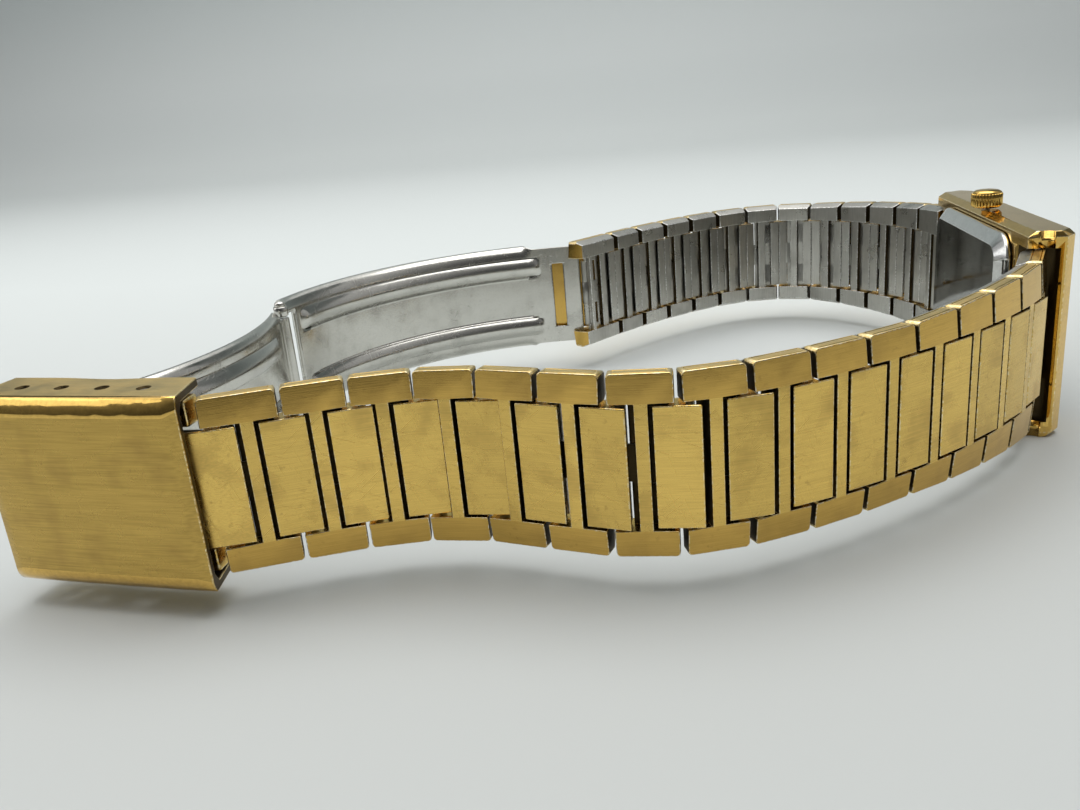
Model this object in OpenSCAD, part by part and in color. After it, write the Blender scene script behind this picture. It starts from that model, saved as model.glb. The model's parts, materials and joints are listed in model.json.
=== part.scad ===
// Analog quartz wristwatch with a folded-link bracelet and a fold-over clasp.
// The watch lies on its nine o'clock flank with the crown up and the clasp open.
// +X is out of the dial, +Y points to six o'clock and +Z to the crown.
// The origin is on the floor, under the centre of the case.

/* [Case] */
// Width of the case from flank to flank
case_w = 19.8; // [18.6:0.1:22]
// Length of the case between the tips of its lugs
case_len = 32.4; // [31.8:0.1:34]
// Height of the bezel above the plane of the lug pins
case_front = 3.2; // [3.1:0.1:3.8]
// Depth of the flank behind the plane of the lug pins
case_rear = 1.0; // [0.9:0.05:1.3]
// Bevel along the edges of the flanks
case_bevel = 0.5; // [0.2:0.05:0.8]
// Distance of the lug pins from the middle of the case
lug_pin_y = 15.2; // [14.8:0.1:15.2]
// Length of the opening in the bezel
window_l = 20; // [18:0.2:20.4]
// Width of the opening in the bezel
window_w = 14; // [13:0.2:14.4]

/* [Back and crystal] */
// Thickness of the crystal
crystal_t = 0.8; // [0.6:0.05:1.2]
// Thickness of the ring seal round the crystal
crystal_seal = 0.28; // [0.2:0.02:0.4]
// Height of the caseback behind the flank
back_h = 1.25; // [1.1:0.05:1.6]
// Wall of the caseback
back_wall = 0.4; // [0.3:0.05:0.5]
// Bevel round the caseback
back_bevel = 0.7; // [0.3:0.05:0.9]
// Thickness of the seal under the caseback
back_seal = 0.12; // [0.1:0.01:0.2]

/* [Dial and hands] */
// Thickness of the dial plate
dial_t = 0.3; // [0.2:0.05:0.4]
// Height of the hour markers
marker_h = 0.1; // [0.05:0.01:0.12]
// Length of the hour hand from its centre
hour_len = 4.2; // [3:0.1:5]
// Length of the minute hand from its centre
minute_len = 6; // [4.5:0.1:6.4]
// Length of the second hand from its centre
second_len = 6.2; // [4.5:0.1:6.5]

/* [Movement] */
// Diameter of the cell
cell_d = 6.8; // [5.8:0.1:7]
// Thickness of the cell
cell_h = 1.65; // [1.2:0.05:1.65]
// Thickness of the main plate
plate_t = 0.45; // [0.35:0.05:0.45]
// Diameter of the seconds wheel
seconds_wheel_d = 5.2; // [4.4:0.1:5.4]
// Diameter of the step wheel
step_wheel_d = 2.8; // [2:0.1:3]
// Diameter of the third wheel
third_wheel_d = 2.6; // [2:0.1:2.8]
// Diameter of the coil
coil_d = 1.36; // [1:0.02:1.4]
// Diameter of the winding stem
stem_d = 0.7; // [0.6:0.02:0.8]

/* [Crown] */
// Diameter of the crown
crown_d = 3.1; // [2.6:0.1:3.6]
// Height of the crown
crown_h = 1.9; // [1.4:0.1:2.4]
// Gap between the crown and the flank
crown_gap = 0.35; // [0.3:0.05:0.6]
// Number of flutes round the crown
crown_flutes = 30; // [20:1:36]

/* [Bracelet] */
// Distance from one hinge pin to the next
pitch = 5; // [4.8:0.05:5.4]
// Width of the bracelet at the clasp
band_w = 14; // [13.6:0.1:14.4]
// Extra width of the bracelet at the case
band_flare = 2.4; // [1.6:0.1:2.4]
// Number of links over which the bracelet widens
flare_links = 5; // [3:1:6]
// Depth of the hinge pins under the outer face
pin_depth = 0.95; // [0.9:0.01:1]
// Thickness of the end blocks
block_t = 2.4; // [2.2:0.05:2.5]
// Gap between two end blocks
block_gap = 0.34; // [0.3:0.01:0.4]
// Length of the centre plate along the bracelet
plate_l = 3.4; // [3:0.05:3.4]
// Width of the centre plate across the bracelet
plate_w = 9.3; // [8.8:0.1:9.3]
// Thickness of the sheet that the links are folded from
sheet = 0.3; // [0.25:0.01:0.32]
// Length of the crossbar of a link
bar_l = 1; // [0.8:0.05:1.1]
// Diameter of the hinge pins
pin_d = 0.56; // [0.5:0.01:0.6]
// Gap round a hinge pin
pin_play = 0.04; // [0.02:0.01:0.06]

/* [Clasp] */
// Length of the clasp cover
cover_l = 18.5; // [17.5:0.1:20]
// Width of the clasp cover
cover_w = 15.6; // [15.6:0.1:16.4]
// Depth of the clasp cover
cover_d = 5.2; // [4.8:0.1:5.6]
// Wall of the clasp cover
cover_wall = 0.7; // [0.5:0.05:0.7]
// Distance between two adjustment holes
hole_step = 3.7; // [3.4:0.1:3.8]
// Diameter of the adjustment holes
hole_d = 1.1; // [1:0.05:1.3]
// Length of the middle blade between its hinges
mid_len = 32.5; // [31:0.1:33]
// Length of the inner blade between its hinges
inner_len = 41; // [40:0.1:41.5]
// Width of the middle blade
mid_w = 12; // [11.4:0.1:12.6]
// Width of the inner blade
inner_w = 12.6; // [12:0.1:13]
// Thickness of the blades
blade_t = 0.7; // [0.5:0.05:0.8]
// Height of the flanges along the blades
flange_h = 1.1; // [0.8:0.05:1.3]

/* [Lying pose] */
// Turn from each link to the next on the twelve o'clock side, from the case
near_bends = [22, 14, 5, 4, 4, 4, 4, 5, 11, 18, 15, 1, -14, -16, -7, -2];
// Turn from each link to the next on the six o'clock side, from the case
far_bends = [12, 14, 9, 9, 12, 20, 22, 19, 11, 6, 4, 4, 3];
// Turn from the last link to the clasp end link
end_bend = 24; // [10:1:28]
// Turn from the clasp end link to the cover
cover_bend = 6; // [0:1:12]
// Opening angle of the middle blade
mid_open = 88; // [80:1:100]
// Curve of the middle blade from end to end
mid_turn = 60; // [50:1:70]
// Curve of the inner blade from end to end
inner_turn = 84; // [70:1:90]

/* [Hidden] */
$fn = 40;
eps = 0.01;
near_n = len(near_bends);
far_n = len(far_bends);
mid_z = case_w / 2;

function dir(a) = [cos(a), sin(a)];
function total(v, n, i = 0) = i >= n ? 0 : v[i] + total(v, n, i + 1);
function angle_of(v) = atan2(v[1], v[0]);
function run(start, heads, n) = n == 0 ? start : run(start, heads, n - 1) + pitch * dir(heads[n - 1]);
function two_digits(i) = i < 10 ? str("0", i) : str(i);

// The twelve o'clock side runs from its lug pin to the clasp.
near_heads = [for (i = [1 : near_n]) 270 - total(near_bends, i)];
near_pins = [for (i = [0 : near_n]) run([0, -lug_pin_y], near_heads, i)];

// The clasp end link, and the cover that it holds by a spring bar.
end_l = 4.8;
end_head = near_heads[near_n - 1] - end_bend;
bar_at = near_pins[near_n] + end_l * dir(end_head);
cover_head = end_head - cover_bend;
bar_in = 4.3;
bar_deep = 2.6;
cover_at = bar_at - bar_in * dir(cover_head) + bar_deep * dir(cover_head + 90);

// The hinge of the middle blade in the cover, and the far end of that blade.
hinge_in = 14;
hinge_deep = 3.2;
hinge_at = cover_at + hinge_in * dir(cover_head) - hinge_deep * dir(cover_head + 90);
mid_head = cover_head - 180 + mid_open;
knee_at = hinge_at + mid_len * dir(mid_head);

// The six o'clock side swings about its lug pin until its last pin meets the inner blade.
far_start = [0, lug_pin_y];
far_raw_heads = [for (i = [1 : far_n]) 90 + total(far_bends, i)];
far_reach = run([0, 0], far_raw_heads, far_n);
to_knee = knee_at - far_start;
knee_angle = acos((pow(norm(far_reach), 2) + pow(norm(to_knee), 2) - pow(inner_len, 2))
    / (2 * norm(far_reach) * norm(to_knee)));
far_swing = angle_of(to_knee) - knee_angle - angle_of(far_reach);
far_heads = [for (a = far_raw_heads) a + far_swing];
far_pins = [for (i = [0 : far_n]) run(far_start, far_heads, i)];
inner_head = angle_of(far_pins[far_n] - knee_at);

// Sizes inside a link, in its own frame: x along the bracelet, y outwards.
block_in = plate_w / 2 + 0.2;
block_x = block_gap / 2;
block_slant = 0.3;
out_y = pin_depth;
in_y = pin_depth - block_t;
plate_low = 0.05;
knuckle_r = pin_d / 2 + pin_play + 0.24;
bore_r = pin_d / 2 + pin_play;
knuckle_gap = 0.15;
mid_knuckle = 2.9;
side_knuckle = plate_w / 2 - sheet - 0.1;
bar_y = -1;
leaf_y = bar_y;
leaf_half = 1.2;
leaf_t = 0.22;
leg_half = 0.6;
web_t = 0.25;
pin_short = 0.02;
lug_wall = 0.14;
lug_knuckle_r = out_y - plate_low - sheet - 0.02;
lug_bore_r = lug_knuckle_r - lug_wall;
lug_bar_r = lug_bore_r - pin_play;
lug_room = band_w + band_flare + 0.3;
lug_tip = 0.6;

// Ends of the two blades where they meet at the knee, and the rim of a blade.
knee_r = 0.82;
knee_half = 5;
knee_gap = 0.1;
knee_room = 1.5;
rim_w = 0.5;
mid_from = 0.02;
inner_to = 0.965;
flange_to = 0.83;
flange_stub = 0.05;
blade_window = [2.6, 8];
window_back = 5.2;

// The clasp end link: where its side parts start and stop, and the tube for the spring bar.
end_half = block_in + 1.2;
end_tilt = 20;
end_from = 1.9;
end_stop = 0.3;
end_skin = 0.1;
end_back = 0.5;
end_tube_r = 0.85;
bar_slack = 0.5;
bar_tip_r = hole_d / 2 - 0.15;
bar_tip_in = 0.15;

// The section of the cover, and the pin of the middle blade in it.
cover_bevel = 0.9;
cover_slope = 0.63;
cover_in = 0.4;
cover_step = 0.2;
hinge_slack = 0.02;

// Outline of the case, and the notches for the bracelet between its lugs.
tip_cut = 0.6;
nose_x = 1;
nose_y = 1.2;
corner = 1;
notch_in = 1.95;
notch_roof = 1.55;

// Levels along X inside the case.
rear_x = -case_rear;
seat_x = case_front - 0.45;
dial_seat = seat_x - 0.8;
dial_x = dial_seat - dial_t;
cavity_l = 21;
cavity_w = 15.4;
holder_play = 0.08;
holder_wall = 0.65;
main_x = dial_x - 0.35 - plate_t;
cell_x = main_x - 0.03 - cell_h;
bridge_x = -0.8;
bridge_t = 0.3;
back_x = rear_x - back_seal;
crystal_ledge = 0.9;
crystal_l = window_l + 2 * crystal_ledge;
crystal_w = window_w + 2 * crystal_ledge;
crystal_bevel = 0.25;
back_lip = 1.2;
back_rim = 0.3;
back_spigot = 0.4;
stem_x = -0.1;
tube_r = stem_d / 2 + 0.1;
stem_in = 3.4;
groove_r = stem_d / 2 - 0.13;
lever_z = 5;
lever_t = 0.3;
arbor_r = 0.12;
pivot_r = 0.15;

// Levels of the wheels and hands.
cannon_r = 0.35;
cannon_bore = arbor_r + 0.04;
hour_bore = cannon_r + 0.05;
hour_tube_r = hour_bore + 0.2;
hour_hand_x = dial_seat + 0.02;
minute_hand_x = hour_hand_x + 0.26;
second_hand_x = minute_hand_x + 0.24;
hand_t = 0.1;
third_at = [1.2, 1.85];
step_at = [-2.5, -1.65];
rotor_at = [-4.15, -2.35];
rotor_r = 0.55;
rotor_play = 0.12;
bridge_from = [-5.4, -3.4];
bridge_size = [7.6, 6.2];
pillar_at = [[-4.8, 2.2], [1.7, -2.9]];
pillar_r = 0.35;
stator_x = -0.17;
stator_t = 0.3;
arm_w = 1.2;
coil_x = -0.02;
coil_bore_r = coil_d / 2 - 0.4;
flange_t = 0.4;
cell_at = [5.6, -3.1];
coil_at = -7.7;
coil_l = 9;
marker_long = 1.6;
marker_short = 1.1;
marker_w = 0.36;
marker_in = 1.5;
hour_turn = 305;
minute_turn = 60;
second_turn = 210;

near_names = [for (i = [1 : near_n]) str("upper_link_", two_digits(i))];
far_names = [for (i = [1 : far_n]) str("lower_link_", two_digits(i))];

// Half of the bracelet's width, a number of links away from the case.
function half_band(s) = band_w / 2 + band_flare / 2 * max(0, 1 - s / flare_links);

// Puts a shape on the middle plane at a pin, with its x axis along a heading.
module at_pin(p, head) {
    translate([p[0], p[1], mid_z]) rotate([0, 0, head]) children();
}

module rod(r, h) {
    cylinder(r = r, h = h, center = true);
}

// A cylinder along X, from one level to another, at a place on the dial.
module along_x(r, x0, x1, at = [0, 0]) {
    translate([x0, at[0], mid_z + at[1]]) rotate([0, 90, 0]) cylinder(r = r, h = x1 - x0);
}

// A slab between two levels of X, centred on the dial, with its four corners cut.
module clipped_slab(x0, x1, l, w, c) {
    translate([x0, 0, mid_z]) rotate([90, 0, 90]) linear_extrude(x1 - x0) polygon([
        [l / 2 - c, -w / 2], [l / 2, -w / 2 + c], [l / 2, w / 2 - c], [l / 2 - c, w / 2],
        [-l / 2 + c, w / 2], [-l / 2, w / 2 - c], [-l / 2, -w / 2 + c], [-l / 2 + c, -w / 2]]);
}

// The outline of a flank, seen from the side, drawn in by an inset.
module flank_shape(inset) {
    h = case_len / 2 - inset;
    f = case_front - inset;
    polygon([[rear_x + inset, -h + tip_cut], [tip_cut, -h], [f - nose_x, -h], [f, -h + nose_y],
        [f, h - nose_y], [f - nose_x, h], [tip_cut, h], [rear_x + inset, h - tip_cut]]);
}

// The outer form: the flank outline across the watch, with bevelled long edges.
module case_outer() {
    intersection() {
        linear_extrude(case_w) flank_shape(0);
        rotate([90, 0, 0]) linear_extrude(case_len + 2, center = true) polygon([
            [rear_x - 1, 0], [case_front - case_bevel, 0], [case_front, case_bevel],
            [case_front, case_w - case_bevel], [case_front - case_bevel, case_w], [rear_x - 1, case_w]]);
    }
}

// The room between two lugs for the first link and its bar.
module lug_notch(side) {
    reach = case_len / 2 + 1;
    start = lug_pin_y - notch_in;
    translate([rear_x - 1, side > 0 ? start : -reach, mid_z - lug_room / 2])
        cube([case_front + 1 - notch_roof - rear_x, reach - start, lug_room]);
}

module case_body() color("goldenrod") difference() {
    case_outer();
    clipped_slab(seat_x, case_front + 1, crystal_l + 2 * crystal_seal, crystal_w + 2 * crystal_seal, 1.2);
    clipped_slab(dial_seat - eps, seat_x + eps, window_l, window_w, 1);
    clipped_slab(rear_x - 1, dial_seat, cavity_l, cavity_w, 1);
    for (side = [-1, 1]) lug_notch(side);
    for (side = [-1, 1]) translate([0, side * lug_pin_y, mid_z]) rod(bore_r, lug_room + 2 * lug_tip + 0.4);
    translate([stem_x, 0, mid_z]) cylinder(r = tube_r, h = case_w);
}

module crystal() color("aliceblue", 0.4) intersection() {
    clipped_slab(seat_x, seat_x + crystal_t, crystal_l - 2 * eps, crystal_w - 2 * eps, corner);
    bevel = crystal_bevel;
    translate([0, 0, mid_z]) rotate([90, 0, 0]) linear_extrude(crystal_l, center = true) polygon([
        [seat_x, -crystal_w / 2], [seat_x + crystal_t - bevel, -crystal_w / 2],
        [seat_x + crystal_t, -crystal_w / 2 + bevel], [seat_x + crystal_t, crystal_w / 2 - bevel],
        [seat_x + crystal_t - bevel, crystal_w / 2], [seat_x, crystal_w / 2]]);
}

module seals() color("dimgray") {
    difference() {
        clipped_slab(seat_x, case_front - 0.05,
            crystal_l + 2 * crystal_seal, crystal_w + 2 * crystal_seal, 1.2);
        clipped_slab(seat_x - 1, case_front + 1, crystal_l, crystal_w, 1);
    }
    difference() {
        clipped_slab(back_x, rear_x, cavity_l + back_lip - 0.1, cavity_w + back_lip - 0.1, 1.3);
        clipped_slab(back_x - 1, rear_x + 1, cavity_l + back_rim, cavity_w + back_rim, 1.1);
    }
}

module caseback() color("silver") {
    l = cavity_l + 2 * back_lip;
    w = cavity_w + 2 * back_lip;
    tip = back_x - back_h;
    land = back_x - back_rim;
    notch = [0.35, 1.2, 1.6];
    difference() {
        intersection() {
            clipped_slab(tip, back_x, l, w, 2.2);
            translate([0, 0, mid_z]) rotate([90, 0, 0]) linear_extrude(l, center = true) polygon([
                [back_x, -w / 2], [land, -w / 2], [tip, -w / 2 + back_bevel],
                [tip, w / 2 - back_bevel], [land, w / 2], [back_x, w / 2]]);
            translate([0, 0, mid_z]) linear_extrude(w, center = true) polygon([
                [back_x, -l / 2], [land, -l / 2], [tip, -l / 2 + back_bevel],
                [tip, l / 2 - back_bevel], [land, l / 2], [back_x, l / 2]]);
        }
        clipped_slab(tip + back_wall, back_x + 1, l - 4.2, w - 4.2, 1);
        translate([back_x - 2 * back_rim, -l / 2 + 0.2, mid_z + w / 2 - 3.4]) cube(notch, center = true);
    }
    difference() {
        clipped_slab(back_x, rear_x + back_spigot, cavity_l - back_rim, cavity_w - back_rim, corner);
        clipped_slab(back_x - 1, rear_x + 1, cavity_l - 1.1, cavity_w - 1.1, corner);
    }
}

module dial() color("wheat") difference() {
    clipped_slab(dial_x, dial_seat, cavity_l - 0.2, cavity_w - 0.2, 1);
    along_x(hour_tube_r + 0.1, dial_x - 1, dial_seat + 1);
}

module dial_markers() color("gold") for (i = [0 : 11]) {
    a = 30 * i;
    long = i % 3 == 0 ? marker_long : marker_short;
    translate([dial_seat, -(window_l / 2 - marker_in) * cos(a), mid_z + (window_w / 2 - marker_in) * sin(a)])
        rotate([angle_of([-cos(a) * window_l, sin(a) * window_w]), 0, 0])
        translate([0, -long / 2, -marker_w / 2]) cube([marker_h, long, marker_w]);
}

// The holder is a frame round the movement, notched from behind for the stem.
module movement_holder() color("whitesmoke") difference() {
    clipped_slab(rear_x + back_spigot + 0.05, main_x + plate_t,
        cavity_l - 2 * holder_play, cavity_w - 2 * holder_play, corner);
    clipped_slab(rear_x - 1, main_x + 1, cavity_l - 2 * holder_wall, cavity_w - 2 * holder_wall, 0.8);
    translate([rear_x - 1, -tube_r, mid_z]) cube([stem_x + tube_r + 1 - rear_x, 2 * tube_r, case_w]);
}

module main_plate() color("khaki") difference() {
    clipped_slab(main_x, main_x + plate_t,
        cavity_l - 2 * holder_wall - 0.1, cavity_w - 2 * holder_wall - 0.1, 0.8);
    along_x(cannon_r + 0.06, main_x - 1, main_x + 1);
    for (at = [third_at, step_at, rotor_at]) along_x(pivot_r, main_x - 1, main_x + 1, at);
}

module train_bridge() color("khaki") difference() {
    translate([bridge_x, bridge_from[0], mid_z + bridge_from[1]])
        cube([bridge_t, bridge_size[0], bridge_size[1]]);
    for (at = [[0, 0], third_at, step_at, rotor_at]) along_x(pivot_r, bridge_x - 1, bridge_x + 1, at);
}

// The pillars of the bridge stand between it and the main plate.
module bridge_pillars() {
    for (at = pillar_at) along_x(pillar_r, bridge_x + bridge_t, main_x, at);
}

module coil() {
    color("sienna") translate([coil_x, coil_at, mid_z]) difference() {
        rod(coil_d / 2, coil_l);
        rod(coil_bore_r, coil_l + 1);
    }
    color("black") for (side = [-1, 1]) translate([coil_x, coil_at, mid_z + side * (coil_l + flange_t) / 2])
        difference() {
            rod(coil_d / 2 + 0.03, flange_t);
            rod(coil_bore_r, 1);
        }
}

// The core of the coil, with an arm at each end that leads to a plate round the rotor.
module stator() color("slategray") {
    arm_z = coil_l / 2 + 1;
    translate([coil_x, coil_at, mid_z]) rod(coil_bore_r - 0.02, coil_l + 2 * flange_t);
    difference() {
        union() {
            for (side = [-1, 1]) translate([stator_x, coil_at - 0.3, mid_z + side * arm_z - arm_w / 2])
                cube([stator_t, 3.1, arm_w]);
            translate([stator_x, coil_at + 2, mid_z - arm_z - arm_w / 2])
                cube([stator_t, 1.9, 2 * arm_z + arm_w]);
            along_x(rotor_r + 0.7, stator_x, stator_x + stator_t, rotor_at);
        }
        along_x(rotor_r + rotor_play, stator_x - 1, stator_x + 1, rotor_at);
        along_x(pillar_r + 0.08, stator_x - 1, stator_x + 1, pillar_at[0]);
    }
}

module rotor() color("dimgray") {
    along_x(rotor_r, -0.2, 0.16, rotor_at);
    along_x(arbor_r, bridge_x + 0.05, main_x + plate_t - 0.05, rotor_at);
    along_x(0.26, 0.22, 0.5, rotor_at);
}

module wheel(d, x, t, at) {
    spokes = 4;
    difference() {
        along_x(d / 2, x, x + t, at);
        for (i = [0 : spokes - 1]) translate([x - 1, at[0], mid_z + at[1]])
            rotate([i * 360 / spokes + 45, 0, 0]) translate([0, d * 0.27, 0]) rotate([0, 90, 0])
            cylinder(r = d * 0.13, h = 2);
    }
}

module step_wheel() color("gold") {
    wheel(step_wheel_d, 0.22, 0.15, step_at);
    along_x(arbor_r, bridge_x + 0.05, main_x + plate_t - 0.05, step_at);
    along_x(0.3, -0.42, -0.1, step_at);
}

module seconds_wheel() color("gold") {
    wheel(seconds_wheel_d, -0.35, 0.15, [0, 0]);
    along_x(arbor_r, bridge_x + 0.05, second_hand_x + hand_t, [0, 0]);
}

module third_wheel() color("gold") {
    wheel(third_wheel_d, 0, 0.12, third_at);
    along_x(arbor_r, bridge_x + 0.05, main_x + plate_t - 0.05, third_at);
}

module cannon_pinion() color("gold") difference() {
    union() {
        along_x(cannon_r, 0.22, minute_hand_x + hand_t);
        along_x(1.4, 0.22, 0.36);
    }
    along_x(cannon_bore, -2, 4);
}

module hour_wheel() color("gold") difference() {
    union() {
        along_x(hour_tube_r, main_x + plate_t + 0.06, hour_hand_x + hand_t);
        along_x(1.5, main_x + plate_t + 0.06, main_x + plate_t + 0.2);
    }
    along_x(hour_bore, -2, 4);
}

// A hand with a hub, turned clockwise from twelve o'clock.
module hand(x, l, w, hub_r, bore, turn) {
    translate([x, 0, mid_z]) rotate([-turn, 0, 0]) rotate([90, 0, 90]) linear_extrude(hand_t)
        difference() {
            union() {
                circle(r = hub_r);
                polygon([[0, -w / 2], [0, w / 2], [-l * 0.85, w / 2], [-l, 0], [-l * 0.85, -w / 2]]);
                polygon([[0, -w / 2], [hub_r + 0.7, -w / 3], [hub_r + 0.7, w / 3], [0, w / 2]]);
            }
            circle(r = bore);
        }
}

module hour_hand() color("gold")
    hand(hour_hand_x, hour_len, 0.8, hour_tube_r + 0.25, hour_tube_r, hour_turn);

module minute_hand() color("gold")
    hand(minute_hand_x, minute_len, 0.6, cannon_r + 0.25, cannon_r, minute_turn);

module second_hand() color("gold")
    hand(second_hand_x, second_len, 0.2, 0.4, arbor_r, second_turn);

module battery() color("lightgray") {
    along_x(cell_d / 2, cell_x + 0.25, cell_x + cell_h, cell_at);
    along_x(cell_d / 2 - 0.5, cell_x, cell_x + 0.25 - eps, cell_at);
}

module battery_strap() color("silver")
    translate([cell_x - 0.12, cell_at[0] - 0.7, mid_z - cavity_w / 2 + holder_wall + 0.1])
        cube([0.1, 1.4, cell_d + 0.6]);

module circuit_board() {
    color("darkgreen") translate([-0.55, 2.6, mid_z + 2.2]) cube([0.2, 6.4, 4.5]);
    color("black") translate([-0.34, 3.2, mid_z + 3]) cube([0.5, 1.8, 1.8]);
    color("silver") translate([0.1, 8.6, mid_z + 5.6]) rotate([90, 0, 0]) cylinder(r = 0.4, h = 3.4);
}

module setting_lever() color("silver") difference() {
    translate([stem_x - 0.55, -0.8, mid_z + lever_z]) cube([1.05, 2.4, lever_t]);
    translate([stem_x, 0, mid_z]) cylinder(r = groove_r + 0.04, h = case_w);
}

module stem() color("silver") translate([stem_x, 0, mid_z + stem_in]) difference() {
    cylinder(r = stem_d / 2, h = case_w / 2 - stem_in + crown_gap + 1.2);
    translate([0, 0, lever_z - stem_in - 0.05]) difference() {
        cylinder(r = stem_d, h = lever_t + 0.1);
        translate([0, 0, -1]) cylinder(r = groove_r, h = 3);
    }
}

module crown() color("gold") translate([stem_x, 0, case_w + crown_gap]) difference() {
    union() {
        intersection() {
            cylinder(r = crown_d / 2, h = crown_h - 0.5);
            rotate_extrude() polygon([[0, 0], [crown_d / 2 - 0.35, 0], [crown_d / 2, 0.3],
                [crown_d / 2, crown_h], [0, crown_h]]);
        }
        translate([0, 0, crown_h - 0.5]) rotate_extrude() polygon([[0, 0], [crown_d / 2 - 0.12, 0],
            [crown_d / 2 - 0.3, 0.32], [crown_d / 2 - 0.8, 0.46], [0, 0.5]]);
    }
    for (i = [0 : crown_flutes - 1]) rotate([0, 0, i * 360 / crown_flutes])
        translate([crown_d / 2 + 0.03, 0, 0.2]) rotate([0, 0, 45])
        translate([-0.08, -0.08, 0]) cube([0.16, 0.16, crown_h]);
    translate([0, 0, -1]) cylinder(r = stem_d / 2 + 0.01, h = 2.3);
}

module lug_bars() color("silver") for (side = [-1, 1]) translate([0, side * lug_pin_y, mid_z]) {
    rod(lug_bar_r, lug_room - bar_slack);
    rod(pin_d / 2, lug_room + 2 * lug_tip);
}

// One end block of a link, from its inner edge out to the edge of the bracelet.
module end_block(w0, w1, l) {
    intersection() {
        translate([0, 0, block_in]) linear_extrude(max(w0, w1) - block_in) polygon([
            [block_x, out_y], [l - block_x, out_y], [l - block_x, 0],
            [l - block_x - block_slant, in_y], [block_x + block_slant, in_y], [block_x, 0]]);
        rotate([90, 0, 0]) linear_extrude(3 * block_t, center = true) polygon([
            [0, 0], [l, 0], [l, w1], [0, w0]]);
    }
}

module knuckle(r, hole, z0, z1) {
    translate([0, 0, z0]) difference() {
        cylinder(r = r, h = z1 - z0);
        translate([0, 0, -1]) cylinder(r = hole, h = z1 - z0 + 2);
    }
}

// The folded shell: two end blocks, the crossbar, side knuckles at its own pin, a tongue to the next.
module link_shell(w0, w1, first, l = pitch) {
    bar_x = l / 2 - bar_l / 2;
    own_r = first ? lug_knuckle_r : knuckle_r;
    own_bore = first ? lug_bore_r : bore_r;
    tongue_y = -knuckle_r;
    difference() {
        union() {
            for (side = [0, 1]) mirror([0, 0, side]) {
                end_block(w0, w1, l);
                knuckle(own_r, own_bore, mid_knuckle / 2 + knuckle_gap, side_knuckle);
                translate([0, -own_r, mid_knuckle / 2 + knuckle_gap])
                    cube([bar_x + eps, web_t, side_knuckle - mid_knuckle / 2 - knuckle_gap]);
            }
            translate([bar_x, bar_y, -block_in - eps]) cube([bar_l, out_y - bar_y, 2 * block_in + 2 * eps]);
            translate([bar_x + bar_l - eps, tongue_y, -mid_knuckle / 2])
                cube([l - bar_x - bar_l, web_t, mid_knuckle]);
            translate([l, 0, 0]) knuckle(knuckle_r, bore_r, -mid_knuckle / 2, mid_knuckle / 2);
        }
        rod(own_bore, first ? 2 * w0 + 1 : 2 * side_knuckle + 2 * eps);
        translate([l, 0, 0]) rod(bore_r, 2 * side_knuckle);
    }
}

// The centre plate, its end legs and its inner leaf, folded round the knuckles and bored for its pin.
module centre_plate(hole) difference() {
    union() {
        translate([-plate_l / 2, out_y - plate_low - sheet, -plate_w / 2]) cube([plate_l, sheet, plate_w]);
        for (side = [0, 1]) mirror([0, 0, side]) translate([-leg_half, leaf_y, plate_w / 2 - sheet])
            cube([2 * leg_half, out_y - leaf_y - plate_low - eps, sheet]);
        translate([-leaf_half, leaf_y, -plate_w / 2]) cube([2 * leaf_half, leaf_t, plate_w]);
    }
    rod(hole, plate_w + 1);
    translate([-leaf_half - 1, leaf_y - 1, -mid_knuckle / 2 - knuckle_gap])
        cube([leaf_half + 1.4, 1 + leaf_t + eps, mid_knuckle + 2 * knuckle_gap]);
}

module link(k, heads, pins, side) {
    first = k == 1;
    at_pin(pins[k - 1], heads[k - 1]) mirror([0, side, 0]) {
        color("goldenrod") link_shell(half_band(k - 1), half_band(k), first);
        color("darkgoldenrod") centre_plate(first ? lug_bore_r : bore_r);
        if (!first) color("silver") rod(pin_d / 2, plate_w - pin_short);
    }
}

// The far side's last pin is the spring bar for the inner blade.
module last_bar() color("silver") at_pin(far_pins[far_n], far_heads[far_n - 1]) rod(pin_d / 2, plate_w - 0.4);

// The clasp end link ends in a tube that holds the spring bar of the cover.
module clasp_end_link() {
    web_z = mid_knuckle / 2 + knuckle_gap;
    at_pin(near_pins[near_n], end_head) {
        color("goldenrod") difference() {
            union() {
                translate([end_from, in_y + end_back, -end_half])
                    cube([end_l - end_from - end_stop, block_t - end_back - end_skin, 2 * end_half]);
                for (s = [0, 1]) mirror([0, 0, s]) {
                    knuckle(knuckle_r, bore_r, web_z, side_knuckle);
                    translate([0, -knuckle_r, web_z]) cube([end_from + 0.1, web_t, side_knuckle - web_z]);
                }
                translate([end_l, 0, 0]) rod(end_tube_r, 2 * end_half);
            }
            translate([end_l, 0, 0]) rod(lug_bore_r, 2 * end_half + 1);
            rod(bore_r, 2 * side_knuckle + 1);
        }
        color("darkgoldenrod") rotate([0, 0, end_tilt]) centre_plate(bore_r);
        color("silver") rod(pin_d / 2, plate_w - pin_short);
        color("silver") translate([end_l, 0, 0]) {
            rod(lug_bar_r, cover_w - 2 * cover_wall - bar_slack);
            rod(bar_tip_r, cover_w - 2 * bar_tip_in);
        }
    }
}

module clasp_cover() color("goldenrod") at_pin(cover_at, cover_head) {
    half = cover_w / 2;
    inner = half - cover_wall;
    lip = -cover_bevel - cover_step;
    difference() {
        rotate([90, 0, 90]) linear_extrude(cover_l) polygon([
            [0, -half + cover_bevel], [0, half - cover_bevel], [-cover_slope, half],
            [-cover_d, half], [-cover_d, inner], [lip, inner],
            [-cover_wall, half - cover_bevel - cover_in], [-cover_wall, -half + cover_bevel + cover_in],
            [lip, -inner], [-cover_d, -inner], [-cover_d, -half], [-cover_slope, -half]]);
        for (i = [0 : 3]) translate([bar_in + i * hole_step, -bar_deep, 0]) rod(hole_d / 2, cover_w + 1);
    }
}

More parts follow.
